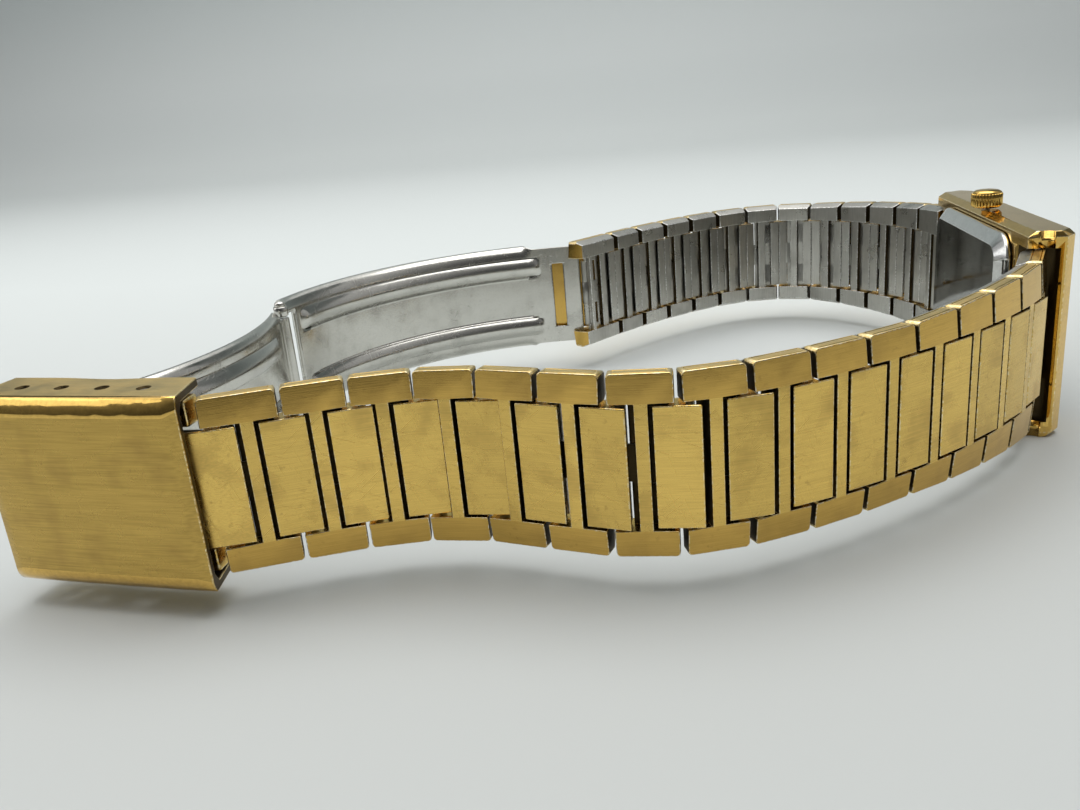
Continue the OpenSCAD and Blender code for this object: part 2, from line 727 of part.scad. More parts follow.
module hinge_pin() color("silver") at_pin(hinge_at, cover_head)
    rod(pin_d / 2, cover_w - 2 * cover_wall - 2 * hinge_slack);

// Bends a profile to an arc that starts at the origin along x, from one share of its turn to another.
// The profile's x is counted outwards from the middle of the sheet.
module bent(l, turn, s0, s1) {
    r = l / 2 / sin(turn / 2);
    translate([0, r, 0]) rotate([0, 0, -90 + turn * s0]) rotate_extrude(angle = turn * (s1 - s0), $fn = 96)
        translate([r, 0]) children();
}

// The section of a blade: its sheet, with a flange along each edge on the inside of the bend.
module blade_section(w) {
    half = w / 2;
    t = blade_t / 2;
    rim = t - flange_h;
    polygon([[rim, -half], [t, -half], [t, half], [rim, half],
        [rim, half - rim_w], [-t, half - rim_w], [-t, -half + rim_w], [rim, -half + rim_w]]);
}

// Moves a shape to the end of an arc, turned along it.
module spin_end(l, turn) {
    rotate([0, 0, turn / 2]) translate([l, 0, 0]) rotate([0, 0, turn / 2]) children();
}

// The middle blade ends in a long knuckle between the two ears of the inner blade.
module middle_blade() {
    color("silver") at_pin(hinge_at, mid_head - mid_turn / 2) difference() {
        union() {
            bent(mid_len, mid_turn, mid_from, 1) blade_section(mid_w);
            rod(knee_r, mid_w - 2 * eps);
            spin_end(mid_len, mid_turn) rod(knee_r, 2 * knee_half);
        }
        rod(bore_r, mid_w + 2);
        spin_end(mid_len, mid_turn) {
            rod(bore_r, mid_w + 2);
            for (s = [0, 1]) mirror([0, 0, s]) translate([-knee_room, -knee_room, knee_half])
                cube([2 * knee_room, 2 * knee_room, mid_w]);
        }
    }
    color("silver") at_pin(knee_at, 0) rod(pin_d / 2, inner_w - 4 * eps);
}

module inner_blade() color("silver") at_pin(knee_at, inner_head + inner_turn / 2) mirror([0, 1, 0])
    difference() {
        union() {
            bent(inner_len, inner_turn, 0, inner_to) mirror([1, 0]) blade_section(inner_w);
            rod(knee_r, inner_w - 2 * eps);
        }
        rod(bore_r, inner_w + 2);
        translate([-knee_room, -knee_room, -knee_half - knee_gap])
            cube([2 * knee_room, 2 * knee_room, 2 * knee_half + 2 * knee_gap]);
        spin_end(inner_len, inner_turn) translate([-window_back, -blade_window[1] / 2, -blade_window[1] / 2])
            cube([blade_window[0], blade_window[1], blade_window[1]]);
        for (s = [0, 1]) mirror([0, 0, s]) bent(inner_len, inner_turn, flange_to, 1)
            translate([blade_t / 2 + flange_stub, inner_w / 2 - 2 * rim_w]) square([flange_h, 3 * rim_w]);
    }

case_body();
crystal();
seals();
dial();
dial_markers();
movement_holder();
main_plate();
union() { train_bridge(); bridge_pillars(); }
coil();
stator();
rotor();
circuit_board();
battery();
battery_strap();
step_wheel();
seconds_wheel();
third_wheel();
cannon_pinion();
hour_wheel();
hour_hand();
minute_hand();
second_hand();
setting_lever();
stem();
crown();
caseback();
lug_bars();
clasp_end_link();
union() { clasp_cover(); hinge_pin(); }
middle_blade();
inner_blade();
for (k = [1 : near_n]) link(k, near_heads, near_pins, 0);
for (k = [1 : far_n]) union() {
    link(k, far_heads, far_pins, 1);
    if (k == far_n) last_bar();
}
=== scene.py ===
"""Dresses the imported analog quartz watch: folded gold links, an open fold-over clasp, the case and its back.

Sizes are written in millimetres in the part's own frame, and become metres as each mesh is finished.
"""

import json
import logging
import math
from dataclasses import dataclass
from enum import Enum
from functools import cached_property
from typing import Callable, ClassVar, Optional, Sequence

import bmesh
import bpy
from mathutils import Matrix, Vector


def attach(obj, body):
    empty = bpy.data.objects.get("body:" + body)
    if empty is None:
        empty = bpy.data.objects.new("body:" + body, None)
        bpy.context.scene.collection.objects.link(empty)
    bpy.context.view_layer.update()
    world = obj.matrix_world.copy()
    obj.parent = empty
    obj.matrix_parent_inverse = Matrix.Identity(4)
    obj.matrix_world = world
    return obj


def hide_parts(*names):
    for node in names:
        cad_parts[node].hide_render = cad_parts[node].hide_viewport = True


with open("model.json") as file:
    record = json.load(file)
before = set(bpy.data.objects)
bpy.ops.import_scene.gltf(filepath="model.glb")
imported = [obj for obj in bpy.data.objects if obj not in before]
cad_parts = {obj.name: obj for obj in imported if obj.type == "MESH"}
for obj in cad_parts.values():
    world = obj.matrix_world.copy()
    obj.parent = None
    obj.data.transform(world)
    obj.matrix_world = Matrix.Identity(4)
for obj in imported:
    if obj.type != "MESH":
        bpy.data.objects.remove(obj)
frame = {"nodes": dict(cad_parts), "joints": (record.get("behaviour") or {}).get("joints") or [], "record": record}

LOG = logging.getLogger("watch")
MM = 0.001
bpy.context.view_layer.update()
MID_Z = 9.9
PITCH = 5.0
PIN_RADIUS = 0.28
KNUCKLE_RADIUS = 0.56
MIDDLE_KNUCKLE = 1.45
WEB_FRONT = -0.31
PLATE_HALF = 4.65
SHEET = 0.3
BAR_IN, BAR_DEEP = 4.3, 2.6
HINGE_IN, HINGE_DEEP = 14.0, 3.2
INNER_LENGTH = 41.0

Point = tuple[float, ...]
Color = tuple[float, float, float]
Pair = tuple[float, float]
Face = bmesh.types.BMFace
Socket = bpy.types.NodeSocket


def both_sides(near: float, far: float) -> tuple[Pair, Pair]:
    """Gives the stretch from near to far of the middle, as low and high, on one side and on the other."""
    return (near, far), (-far, -near)


class Grain(Enum):
    """The way a metal surface was brushed, as a stretch of its noise along x, y and z."""

    ALONG = (0.22, 6.0, 9.0)
    ACROSS = (9.0, 6.0, 0.22)
    BROAD = (0.16, 3.0, 5.0)
    NONE = (2.2, 2.2, 2.2)


class Side(Enum):
    """The two halves of the bracelet, by the sign of their outer face to the left of the heading."""

    UPPER = 1
    LOWER = -1


class Graph:
    """The shader nodes of a material or a world, with short calls for the patterns that the finishes share."""

    spread: ClassVar[float] = 97.0

    def __init__(self, owner: bpy.types.ID, shader: str = "Principled BSDF") -> None:
        """Takes the nodes of a new material or world.

        Args:
            owner: The material or world.
            shader: The name of its shader node.
        """
        owner.use_nodes = True
        self.tree = owner.node_tree
        self.shader = self.tree.nodes[shader]

    def node(self, kind: str, **values: object) -> bpy.types.Node:
        """Adds a node and sets its plain attributes.

        Args:
            kind: The node's type.
            **values: Attribute names and their values.

        Returns:
            The new node.
        """
        made = self.tree.nodes.new(kind)
        for key, value in values.items():
            setattr(made, key, value)
        return made

    def feed(self, socket: Socket, value: object) -> None:
        """Sets a socket to a value, or links it to another socket.

        Args:
            socket: The input.
            value: A number, a vector, a colour or an output socket.
        """
        if isinstance(value, Socket):
            self.tree.links.new(value, socket)
        else:
            socket.default_value = value

    def shade(self, **inputs: object) -> None:
        """Feeds the shader's inputs, whose names have underscores here for their blanks."""
        for key, value in inputs.items():
            self.feed(self.shader.inputs[key.replace("_", " ")], value)

    def math(self, operation: str, *values: object, kind: str = "ShaderNodeMath") -> Socket:
        """Joins numbers with one operation.

        Args:
            operation: The operation's name.
            *values: Numbers or sockets.
            kind: The node's type.

        Returns:
            The result's socket.
        """
        made = self.node(kind, operation=operation)
        for socket, value in zip(made.inputs, values):
            self.feed(socket, value)
        return made.outputs[0]

    def vector(self, operation: str, *values: object) -> Socket:
        """Joins vectors with one operation."""
        return self.math(operation, *values, kind="ShaderNodeVectorMath")

    def own(self) -> Socket:
        """Gives a number from 0 to 1 that each piece has for itself."""
        return self.node("ShaderNodeObjectInfo").outputs["Random"]

    def split(self, coordinates: str) -> list[Socket]:
        """Gives x, y and z of the named texture coordinates.

        Args:
            coordinates: The output's name on the texture coordinates.

        Returns:
            The three sockets.
        """
        made = self.node("ShaderNodeSeparateXYZ")
        self.feed(made.inputs[0], self.node("ShaderNodeTexCoord").outputs[coordinates])
        return list(made.outputs)

    @cached_property
    def place(self) -> Socket:
        """The piece's own coordinates in millimetres, moved by a number that each piece has for itself."""
        scaled = self.vector("MULTIPLY", self.node("ShaderNodeTexCoord").outputs["Object"], (1 / MM,) * 3)
        return self.vector("ADD", scaled, self.math("MULTIPLY", self.own(), self.spread))

    def turned(self, degrees: float) -> Socket:
        """Gives the local coordinates turned about y, for marks that run askew.

        Args:
            degrees: The turn.

        Returns:
            The vector's socket.
        """
        made = self.node("ShaderNodeVectorRotate", rotation_type="Y_AXIS")
        self.feed(made.inputs["Vector"], self.place)
        made.inputs["Angle"].default_value = math.radians(degrees)
        return made.outputs[0]

    def noise(self, scale: float, stretch: Point = (1, 1, 1), detail: float = 3.0,
              at: Optional[Socket] = None) -> Socket:
        """Adds a noise pattern.

        Args:
            scale: Features per millimetre.
            stretch: Factors on the coordinates before the noise.
            detail: Octaves.
            at: Other coordinates than the local ones.

        Returns:
            The pattern's socket, about 0.3 to 0.7.
        """
        where = self.vector("MULTIPLY", at or self.place, tuple(stretch))
        made = self.node("ShaderNodeTexNoise")
        self.feed(made.inputs["Vector"], where)
        made.inputs["Scale"].default_value = scale
        made.inputs["Detail"].default_value = detail
        return made.outputs[0]

    def between(self, value: Socket, low: float, high: float,
                out_low: float = 0.0, out_high: float = 1.0) -> Socket:
        """Maps a number from one range to another, and holds it there.

        Args:
            value: The number's socket.
            low: Where the result starts.
            high: Where the result ends.
            out_low: The result at the start.
            out_high: The result at the end.

        Returns:
            The result's socket.
        """
        made = self.node("ShaderNodeMapRange")
        for socket, item in zip(made.inputs, (value, low, high, out_low, out_high)):
            self.feed(socket, item)
        return made.outputs[0]

    def blend(self, factor: object, first: object, second: object, kind: str = "MIX") -> Socket:
        """Mixes two colours.

        Args:
            factor: The share of the second.
            first: A colour or socket.
            second: A colour or socket.
            kind: The way of mixing.

        Returns:
            The mixed colour's socket.
        """
        made = self.node("ShaderNodeMix", data_type="RGBA", blend_type=kind)
        self.feed(made.inputs[0], factor)
        for socket, item in ((made.inputs[6], first), (made.inputs[7], second)):
            self.feed(socket, (*item, 1.0) if isinstance(item, tuple) else item)
        return made.outputs[2]

    def bump(self, height: Socket, depth: float, under: Optional[Socket] = None) -> Socket:
        """Turns a height pattern into a normal.

        Args:
            height: The pattern's socket, from 0 to 1.
            depth: The height of one, in millimetres.
            under: A normal to add it to.

        Returns:
            The normal's socket.
        """
        made = self.node("ShaderNodeBump")
        self.feed(made.inputs["Height"], height)
        made.inputs["Strength"].default_value = 1.0
        made.inputs["Distance"].default_value = depth * MM
        if under is not None:
            self.feed(made.inputs["Normal"], under)
        return made.outputs[0]


@dataclass(frozen=True)
class Metal:
    """A worn metal: its colour, its brushing, and the smudges, scratches and bright edges of use."""

    name: str
    base: Color
    stain: Color = (0.34, 0.21, 0.07)
    worn: Color = (0.90, 0.76, 0.45)
    rough: Pair = (0.2, 0.34)
    grain: Grain = Grain.NONE
    grain_depth: float = 0.004
    stains: float = 0.35
    scratches: float = 0.5
    waves: float = 0.01
    streak: Pair = (0.88, 1.08)
    vary: float = 0.0
    scratch_depth: ClassVar[float] = 0.004
    scratch_rough: ClassVar[float] = 0.12

    def material(self) -> bpy.types.Material:
        """Builds the shader of this metal.

        Returns:
            The material.
        """
        made = bpy.data.materials.new(self.name)
        graph = Graph(made)
        cloud = graph.noise(0.35, detail=5.0)
        fine = graph.noise(4.0, detail=4.0)
        brushed = graph.noise(1.6, self.grain.value, 4.0)
        lines = self._lines(graph)
        specks = self._specks(graph)
        stained = graph.math("MULTIPLY", graph.between(cloud, 0.5, 0.72), self.stains)
        stained = graph.math("MAXIMUM", stained, graph.math("MULTIPLY", specks, self.stains))
        edge = graph.node("ShaderNodeAttribute", attribute_name="wear").outputs["Fac"]
        bare = graph.math("MULTIPLY", edge, graph.between(fine, 0.42, 0.62))
        streak = graph.between(brushed, 0.3, 0.7, *self.streak)
        if self.vary:
            own = graph.between(graph.own(), 0.0, 1.0, 1 - self.vary, 1 + self.vary)
            streak = graph.math("MULTIPLY", streak, own)
        tone = graph.blend(stained, self.base, self.stain)
        tone = graph.blend(1.0, graph.blend(bare, tone, self.worn), streak, "MULTIPLY")
        rough = graph.between(cloud, 0.35, 0.65, *self.rough)
        rough = graph.math("ADD", rough, graph.math("MULTIPLY", lines, self.scratch_rough))
        normal = graph.bump(graph.noise(0.45, detail=1.0), self.waves)
        normal = graph.bump(brushed, self.grain_depth, normal)
        normal = graph.bump(graph.math("SUBTRACT", 1.0, lines), self.scratch_depth * self.scratches, normal)
        graph.shade(Base_Color=tone, Metallic=1.0, Roughness=rough, Normal=normal)
        return made

    def _lines(self, graph: Graph) -> Socket:
        """Draws fine scratches that run in three directions.

        Args:
            graph: The material's nodes.

        Returns:
            The pattern's socket, 1 in a scratch.
        """
        found = None
        for turn, thin in ((24.0, 9.0), (-38.0, 7.0), (71.0, 8.0)):
            streaks = graph.noise(1.0, (0.28, 1.0, thin), 2.0, graph.turned(turn))
            line = graph.between(streaks, 0.66, 0.69, 0.0, self.scratches)
            found = line if found is None else graph.math("MAXIMUM", found, line)
        return found

    def _specks(self, graph: Graph) -> Socket:
        """Draws small dark specks of dirt in clusters.

        Args:
            graph: The material's nodes.

        Returns:
            The pattern's socket, 1 in a speck.
        """
        grains = graph.between(graph.noise(2.4, detail=3.0), 0.62, 0.7)
        clusters = graph.between(graph.noise(0.22, detail=1.0), 0.5, 0.62)
        return graph.math("MULTIPLY", grains, clusters)


@dataclass(frozen=True)
class Plain:
    """A finish of the small parts: one colour that varies, with a fine grain."""

    name: str
    base: Color
    second: Color
    rough: float = 0.5
    metallic: float = 0.0
    grain: float = 2.0
    depth: float = 0.004
    stretch: Point = (1, 1, 1)
    transmission: float = 0.0

    def material(self) -> bpy.types.Material:
        """Builds the shader of this finish.

        Returns:
            The material.
        """
        made = bpy.data.materials.new(self.name)
        graph = Graph(made)
        pattern = graph.noise(self.grain, self.stretch, 4.0)
        tone = graph.blend(graph.between(pattern, 0.35, 0.65), self.base, self.second)
        rough = graph.between(pattern, 0.3, 0.7, self.rough * 0.8, min(1.0, self.rough * 1.2))
        graph.shade(Base_Color=tone, Roughness=rough, Metallic=self.metallic, Transmission_Weight=self.transmission,
                    Normal=graph.bump(pattern, self.depth))
        return made


@dataclass(frozen=True)
class Steel(Metal):
    """A worn metal whose stains and bare edges are grey."""

    stain: Color = (0.25, 0.24, 0.21)
    worn: Color = (0.85, 0.85, 0.83)


METALS = (
    # link_gold is polished, and its base is darker than plate_gold's as a painted dark reflection of the floor in
    # front of the blocks.
    Metal("link_gold", (0.67, 0.43, 0.11), worn=(0.84, 0.79, 0.64), rough=(0.12, 0.2), grain=Grain.ALONG,
          grain_depth=0.002, stains=0.3, scratches=0.22, vary=0.08),
    Metal("plate_gold", (0.79, 0.54, 0.148), rough=(0.2, 0.3), grain=Grain.ALONG, grain_depth=0.003, scratches=0.7,
          waves=0.014, vary=0.1),
    Metal("satin_gold", (0.80, 0.60, 0.25), rough=(0.3, 0.42), grain=Grain.ALONG, stains=0.2, scratches=0.3),
    Metal("bevel_gold", (0.77, 0.50, 0.135), rough=(0.07, 0.12), grain_depth=0.0003, stains=0.1, scratches=0.2,
          waves=0.0008),
    # cover_gold is broadly brushed, and its base is darker than the other golds as a painted dark reflection of the
    # room in front of the cover.
    Metal("cover_gold", (0.56, 0.375, 0.10), rough=(0.24, 0.33), grain=Grain.BROAD, scratches=0.1, waves=0.006,
          streak=(0.84, 1.1)),
    Metal("polished_gold", (0.77, 0.50, 0.135), rough=(0.05, 0.12), grain_depth=0.0005, stains=0.15, scratches=0.4,
          waves=0.004),
    Steel("link_steel", (0.50, 0.49, 0.45), rough=(0.26, 0.4), grain=Grain.ACROSS, stains=0.4, scratches=0.3,
          vary=0.12),
    Steel("blade_steel", (0.66, 0.65, 0.60), rough=(0.14, 0.26), grain=Grain.ALONG, grain_depth=0.003, stains=0.3),
    # back_steel's near-black base is a painted dark reflection on the polished flat caseback; back_rim is the same
    # steel, brighter, on its rim.
    Steel("back_steel", (0.13, 0.13, 0.12), rough=(0.05, 0.12), grain_depth=0.0005, stains=0.15, waves=0.004),
    Steel("back_rim", (0.72, 0.72, 0.70), rough=(0.16, 0.26), grain_depth=0.001, stains=0.1, scratches=0.3),
    # Near-black gold laid as painted shade into the cover's inside and holes, the gaps between the links' blocks,
    # the backs of their knuckles and the case's notches.
    Metal("cover_inside", (0.09, 0.065, 0.03), (0.05, 0.04, 0.025), (0.4, 0.34, 0.2), (0.45, 0.58), Grain.ALONG,
          grain_depth=0.01, stains=0.4, scratches=0.2),
)
BRASS = ((0.80, 0.60, 0.26), (0.66, 0.47, 0.18))
INNER = (
    Plain("seal_rubber", (0.03, 0.03, 0.03), (0.05, 0.05, 0.05), 0.6, depth=0.01),
    Plain("holder_plastic", (0.78, 0.78, 0.74), (0.70, 0.70, 0.66), 0.45),
    Plain("movement_brass", *BRASS, 0.3, 1.0, 1.2, 0.003, (1, 0.1, 4)),
    Plain("wheel_brass", *BRASS, 0.25, 1.0, 3.0, 0.002),
    Plain("coil_copper", (0.70, 0.28, 0.12), (0.45, 0.15, 0.06), 0.35, 1.0, 1.0, 0.03, (0.2, 0.2, 14)),
    Plain("stator_iron", (0.42, 0.42, 0.43), (0.34, 0.34, 0.36), 0.4, 1.0),
    Plain("board_green", (0.02, 0.14, 0.06), (0.03, 0.24, 0.10), 0.35, 0.0, 1.4, 0.006),
    Plain("cell_steel", (0.66, 0.66, 0.65), (0.58, 0.58, 0.58), 0.25, 1.0, 2.0, 0.002, (1, 6, 6)),
    Plain("dial_gilt", (0.78, 0.62, 0.33), (0.72, 0.56, 0.28), 0.38, 1.0, 1.0, 0.004, (1, 0.1, 6)),
    Plain("hand_gold", (0.78, 0.55, 0.18), (0.70, 0.48, 0.15), 0.18, 1.0, 3.0, 0.001),
    Plain("crystal_glass", (0.97, 0.98, 0.98), (0.93, 0.96, 0.96), 0.03, 0.0, 0.4, 0.0004, transmission=1.0),
)


@dataclass(frozen=True)
class Place:
    """Where a piece stands: a point in the plan in millimetres, and a heading in degrees."""

    x: float
    y: float
    heading: float

    def matrix(self) -> Matrix:
        """Gives the piece's matrix, in metres, on the watch's middle plane."""
        move = Matrix.Translation(Vector((self.x, self.y, MID_Z)) * MM)
        return move @ Matrix.Rotation(math.radians(self.heading), 4, "Z")


class Form:
    """A mesh in the making, in millimetres. Softened faces are marked as worn."""

    def __init__(self) -> None:
        """Makes an empty form."""
        self.bm = bmesh.new()

    def loft(self, rings: Sequence[Sequence[Point]]) -> "Form":
        """Joins rings with equal counts of points, and caps the two ends.

        Args:
            rings: The rings, each in the same order.

        Returns:
            This form.
        """
        made = [[self.bm.verts.new(point) for point in ring] for ring in rings]
        for lower, upper in zip(made, made[1:]):
            for i in range(len(lower)):
                j = (i + 1) % len(lower)
                self.bm.faces.new((lower[i], lower[j], upper[j], upper[i]))
        self.bm.faces.new(list(reversed(made[0])))
        self.bm.faces.new(made[-1])
        return self

    def block(self, low: Point, high: Point) -> "Form":
        """Adds a box between two corners."""
        (x0, y0, z0), (x1, y1, z1) = low, high
        return self.loft([[(x0, y0, z), (x1, y0, z), (x1, y1, z), (x0, y1, z)] for z in (z0, z1)])

    def pad(self, low: Point, high: Point, width: float, steps: int = 2) -> "Form":
        """Adds a box between two corners, with rounded edges."""
        return self.add(Form().block(low, high).soften(width, steps))

    def turn(self, profile: Sequence[Point], steps: int, reach: Callable[[float], float] = lambda a: 1.0) -> "Form":
        """Revolves a profile about z.

        Args:
            profile: Radius and height from one end to the other.
            steps: Divisions round the axis.
            reach: A factor on the radius, by angle in radians.

        Returns:
            This form.
        """
        turns = [2 * math.pi * i / steps for i in range(steps)]
        round_z = [(reach(a) * math.cos(a), reach(a) * math.sin(a)) for a in turns]
        return self.loft([[(radius * x, radius * y, height) for x, y in round_z] for radius, height in profile])

    def rod(self, radius: float, low: float, high: float, at: Point = (0.0, 0.0), chamfer: float = 0.05,
            steps: int = 32) -> "Form":
        """Adds an upright round rod with small chamfers.

        Args:
            radius: Its radius.
            low: Its lower end.
            high: Its upper end.
            at: Its place in the plan.
            chamfer: The chamfer at both ends.
            steps: Divisions round it.

        Returns:
            This form.
        """
        profile = [(radius - chamfer, low), (radius, low + chamfer), (radius, high - chamfer),
                   (radius - chamfer, high)]
        return self.add(Form().turn(profile, steps).moved((*at, 0.0)))

    def knuckles(self, web_to: float) -> "Form":
        """Adds a link's two side knuckles round its first pin, and the webs that run from them.

        Args:
            web_to: The end of the webs.

        Returns:
            This form.
        """
        for low, high in both_sides(MIDDLE_KNUCKLE + 0.15, PLATE_HALF - SHEET - 0.1):
            self.rod(KNUCKLE_RADIUS, low, high)
            self.block((0.0, -KNUCKLE_RADIUS, low), (web_to, WEB_FRONT, high))
        return self

    def add(self, other: "Form") -> "Form":
        """Takes over the faces of another form.

        Args:
            other: The other form, which is used up.

        Returns:
            This form.
        """
        held = bpy.data.meshes.new("held")
        other.fixed().bm.to_mesh(held)
        self.bm.from_mesh(held)
        bpy.data.meshes.remove(held)
        other.bm.free()
        return self

    def fixed(self) -> "Form":
        """Turns all faces outwards."""
        bmesh.ops.recalc_face_normals(self.bm, faces=self.bm.faces[:])
        return self

    def moved(self, by: Point) -> "Form":
        """Moves the form."""
        self.bm.transform(Matrix.Translation(by))
        return self

    def _temporary(self, name: str) -> bpy.types.Object:
        """Makes a throw-away object of this form.

        Args:
            name: Its name.

        Returns:
            The object.
        """
        mesh = bpy.data.meshes.new(name)
        self.fixed().bm.to_mesh(mesh)
        made = bpy.data.objects.new(name, mesh)
        bpy.context.scene.collection.objects.link(made)
        return made

    def cut(self, other: "Form") -> "Form":
        """Cuts another form out of this one.

        Args:
            other: The other form, which is used up.

        Returns:
            This form.
        """
        first, second = self._temporary("first"), other._temporary("second")
        modifier = first.modifiers.new("cut", "BOOLEAN")
        modifier.operation = "DIFFERENCE"
        modifier.solver = "EXACT"
        modifier.object = second
        bpy.context.view_layer.update()
        graph = bpy.context.evaluated_depsgraph_get()
        result = bpy.data.meshes.new_from_object(first.evaluated_get(graph))
        self.bm.free()
        self.bm = bmesh.new()
        self.bm.from_mesh(result)
        for made in (first, second):
            held = made.data
            bpy.data.objects.remove(made)
            bpy.data.meshes.remove(held)
        bpy.data.meshes.remove(result)
        other.bm.free()
        bmesh.ops.dissolve_limit(self.bm, angle_limit=math.radians(0.5), verts=self.bm.verts[:],
                                 edges=self.bm.edges[:])
        return self

    def soften(self, width: float, steps: int = 2, angle: float = 28.0,
               where: Callable[[bmesh.types.BMEdge], bool] = lambda edge: True) -> "Form":
        """Rounds the edges that are sharper than an angle, and marks the new faces as worn.

        Args:
            width: The width of the rounding.
            steps: Its divisions.
            angle: The least angle between two faces, in degrees.
            where: Which of these edges to round.

        Returns:
            This form.
        """
        self.fixed()
        wear = self.bm.faces.layers.float.get("wear") or self.bm.faces.layers.float.new("wear")
        edges = [e for e in self.bm.edges if len(e.link_faces) == 2
                 and e.calc_face_angle(0.0) > math.radians(angle) and where(e)]
        done = bmesh.ops.bevel(self.bm, geom=edges, offset=width, offset_type="OFFSET", segments=steps,
                               profile=0.5, affect="EDGES", clamp_overlap=True, material=-1)
        for face in done["faces"]:
            face[wear] = 1.0
        return self

    def paint(self, chooser: Callable[[Face], int]) -> "Form":
        """Gives each face one of the piece's finishes.

        Args:
            chooser: Gives the finish's number for a face.

        Returns:
            This form.
        """
        self.fixed()
        for face in self.bm.faces:
            face.material_index = chooser(face)
        return self

    def mirrored(self, side: Side) -> "Form":
        """Turns the form over in y for the lower half of the bracelet."""
        self.bm.transform(Matrix.Scale(side.value, 4, (0, 1, 0)))
        return self

    def shown(self, name: str, finishes: Sequence[bpy.types.Material]) -> bpy.types.Object:
        """Makes a smooth object of the form, in metres. The form is used up.

        Args:
            name: The object's name.
            finishes: Its materials.

        Returns:
            The object.
        """
        self.bm.transform(Matrix.Scale(MM, 4))
        mesh = bpy.data.meshes.new(name)
        self.bm.to_mesh(mesh)
        self.bm.free()
        mesh.polygons.foreach_set("use_smooth", [True] * len(mesh.polygons))
        for finish in finishes:
            mesh.materials.append(finish)
        made = bpy.data.objects.new(name, mesh)
        bpy.context.scene.collection.objects.link(made)
        return made


@dataclass
class Piece:
    """One finished object: its name, its body, its slot, the names of its finishes, and its place."""

    name: str
    body: str
    slot: str
    looks: str
    place: Optional[Place] = None
    finishes: ClassVar[dict[str, bpy.types.Material]] = {}

    def make(self, form: Form, *nodes: str) -> None:
        """Makes the object, puts it on its body and reports it.

        Args:
            form: The form in millimetres, which is used up.
            *nodes: The nodes that it stands for.
        """
        made = form.fixed().shown(self.name, [self.finishes[look] for look in self.looks.split()])
        made.modifiers.new("normals", "WEIGHTED_NORMAL").weight = 100
        if self.place is not None:
            made.matrix_world = self.place.matrix()
        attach(made, self.body)
        if nodes:
            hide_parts(*nodes)
        LOG.info("%s rides on %s with %d faces", self.name, self.body, len(made.data.polygons))


@dataclass(frozen=True)
class Layout:
    """The places of all hinges, read from the frame's joints."""

    @staticmethod
    def joint(name: str) -> Vector:
        """Gives a joint's place in the plan, in millimetres."""
        found = next(j for j in frame["joints"] if j["name"] == name)
        return Vector(found["pos_m"][:2]) / MM

    def chain(self, stem: str) -> list[Vector]:
        """Gives the pins of one half of the bracelet, from the case outwards."""
        names = sorted(j["name"] for j in frame["joints"] if j["name"].startswith(stem))
        return [self.joint(name) for name in names]

    @staticmethod
    def heading(start: Vector, end: Vector) -> float:
        """Gives the heading from one point to another, in degrees."""
        step = end - start
        return math.degrees(math.atan2(step.y, step.x))

    def upper_pins(self) -> list[Vector]:
        """Gives the pins from the case to the clasp's end link."""
        return self.chain("upper_hinge_") + [self.joint("clasp_end_hinge")]

    def lower_pins(self) -> list[Vector]:
        """Gives the pins from the case to the inner blade, whose end lies where its arc meets the last link.

        Returns:
            The pins' places.
        """
        pins = self.chain("lower_hinge_")
        last, knee = pins[-1], self.joint("inner_blade_hinge")
        gap = knee - last
        along = (gap.length_squared + PITCH ** 2 - INNER_LENGTH ** 2) / (2 * gap.length)
        aside = math.sqrt(PITCH ** 2 - along ** 2)
        unit = gap.normalized()
        options = [last + unit * along + Vector((-unit.y, unit.x)) * aside * way for way in (1, -1)]
        before = (last - pins[-2]).normalized()
        return pins + [max(options, key=lambda p: (p - last).dot(before))]

    def cover(self) -> Place:
        """Gives the place of the clasp cover's outer corner at its bracelet end.

        Returns:
            The place.
        """
        bar, hinge = self.joint("clasp_cover_hinge"), self.joint("middle_blade_hinge")
        tilt = math.degrees(math.atan2(HINGE_DEEP - BAR_DEEP, HINGE_IN - BAR_IN))
        head = self.heading(bar, hinge) + tilt
        ahead = Vector((math.cos(math.radians(head)), math.sin(math.radians(head))))
        outwards = Vector((-ahead.y, ahead.x))
        at = bar - ahead * BAR_IN + outwards * BAR_DEEP
        return Place(at.x, at.y, head)


@dataclass(frozen=True)
class FoldedPlate:
    """A centre plate: a sheet with a leg at both ends, and the leaf folded in two halves behind it."""

    right: float = 1.7
    tilt: float = 0.0
    left: float = -1.7
    face: float = 0.91
    leg: float = 0.6
    leg_back: float = -0.95
    leaf: float = 1.2
    leaf_back: float = -1.0
    leaf_front: float = -0.78
    seam: float = 0.05

    def form(self) -> Form:
        """Builds the plate, whose leaf has the second finish.

        Returns:
            The plate.
        """
        form = Form().block((self.left, self.face - SHEET, -PLATE_HALF), (self.right, self.face, PLATE_HALF))
        form.soften(0.09, 3)
        for low, high in both_sides(PLATE_HALF - SHEET, PLATE_HALF - 0.01):
            form.pad((-self.leg, self.leg_back, low), (self.leg, self.face - 0.1, high), 0.05)
        form.bm.transform(Matrix.Rotation(math.radians(self.tilt), 4, "Z"))
        for low, high in both_sides(self.seam / 2, self.leaf):
            form.pad((low, self.leaf_back, -PLATE_HALF), (high, self.leaf_front, PLATE_HALF), 0.07)
        return form.paint(lambda face: int(face.calc_center_median().y < -0.7))


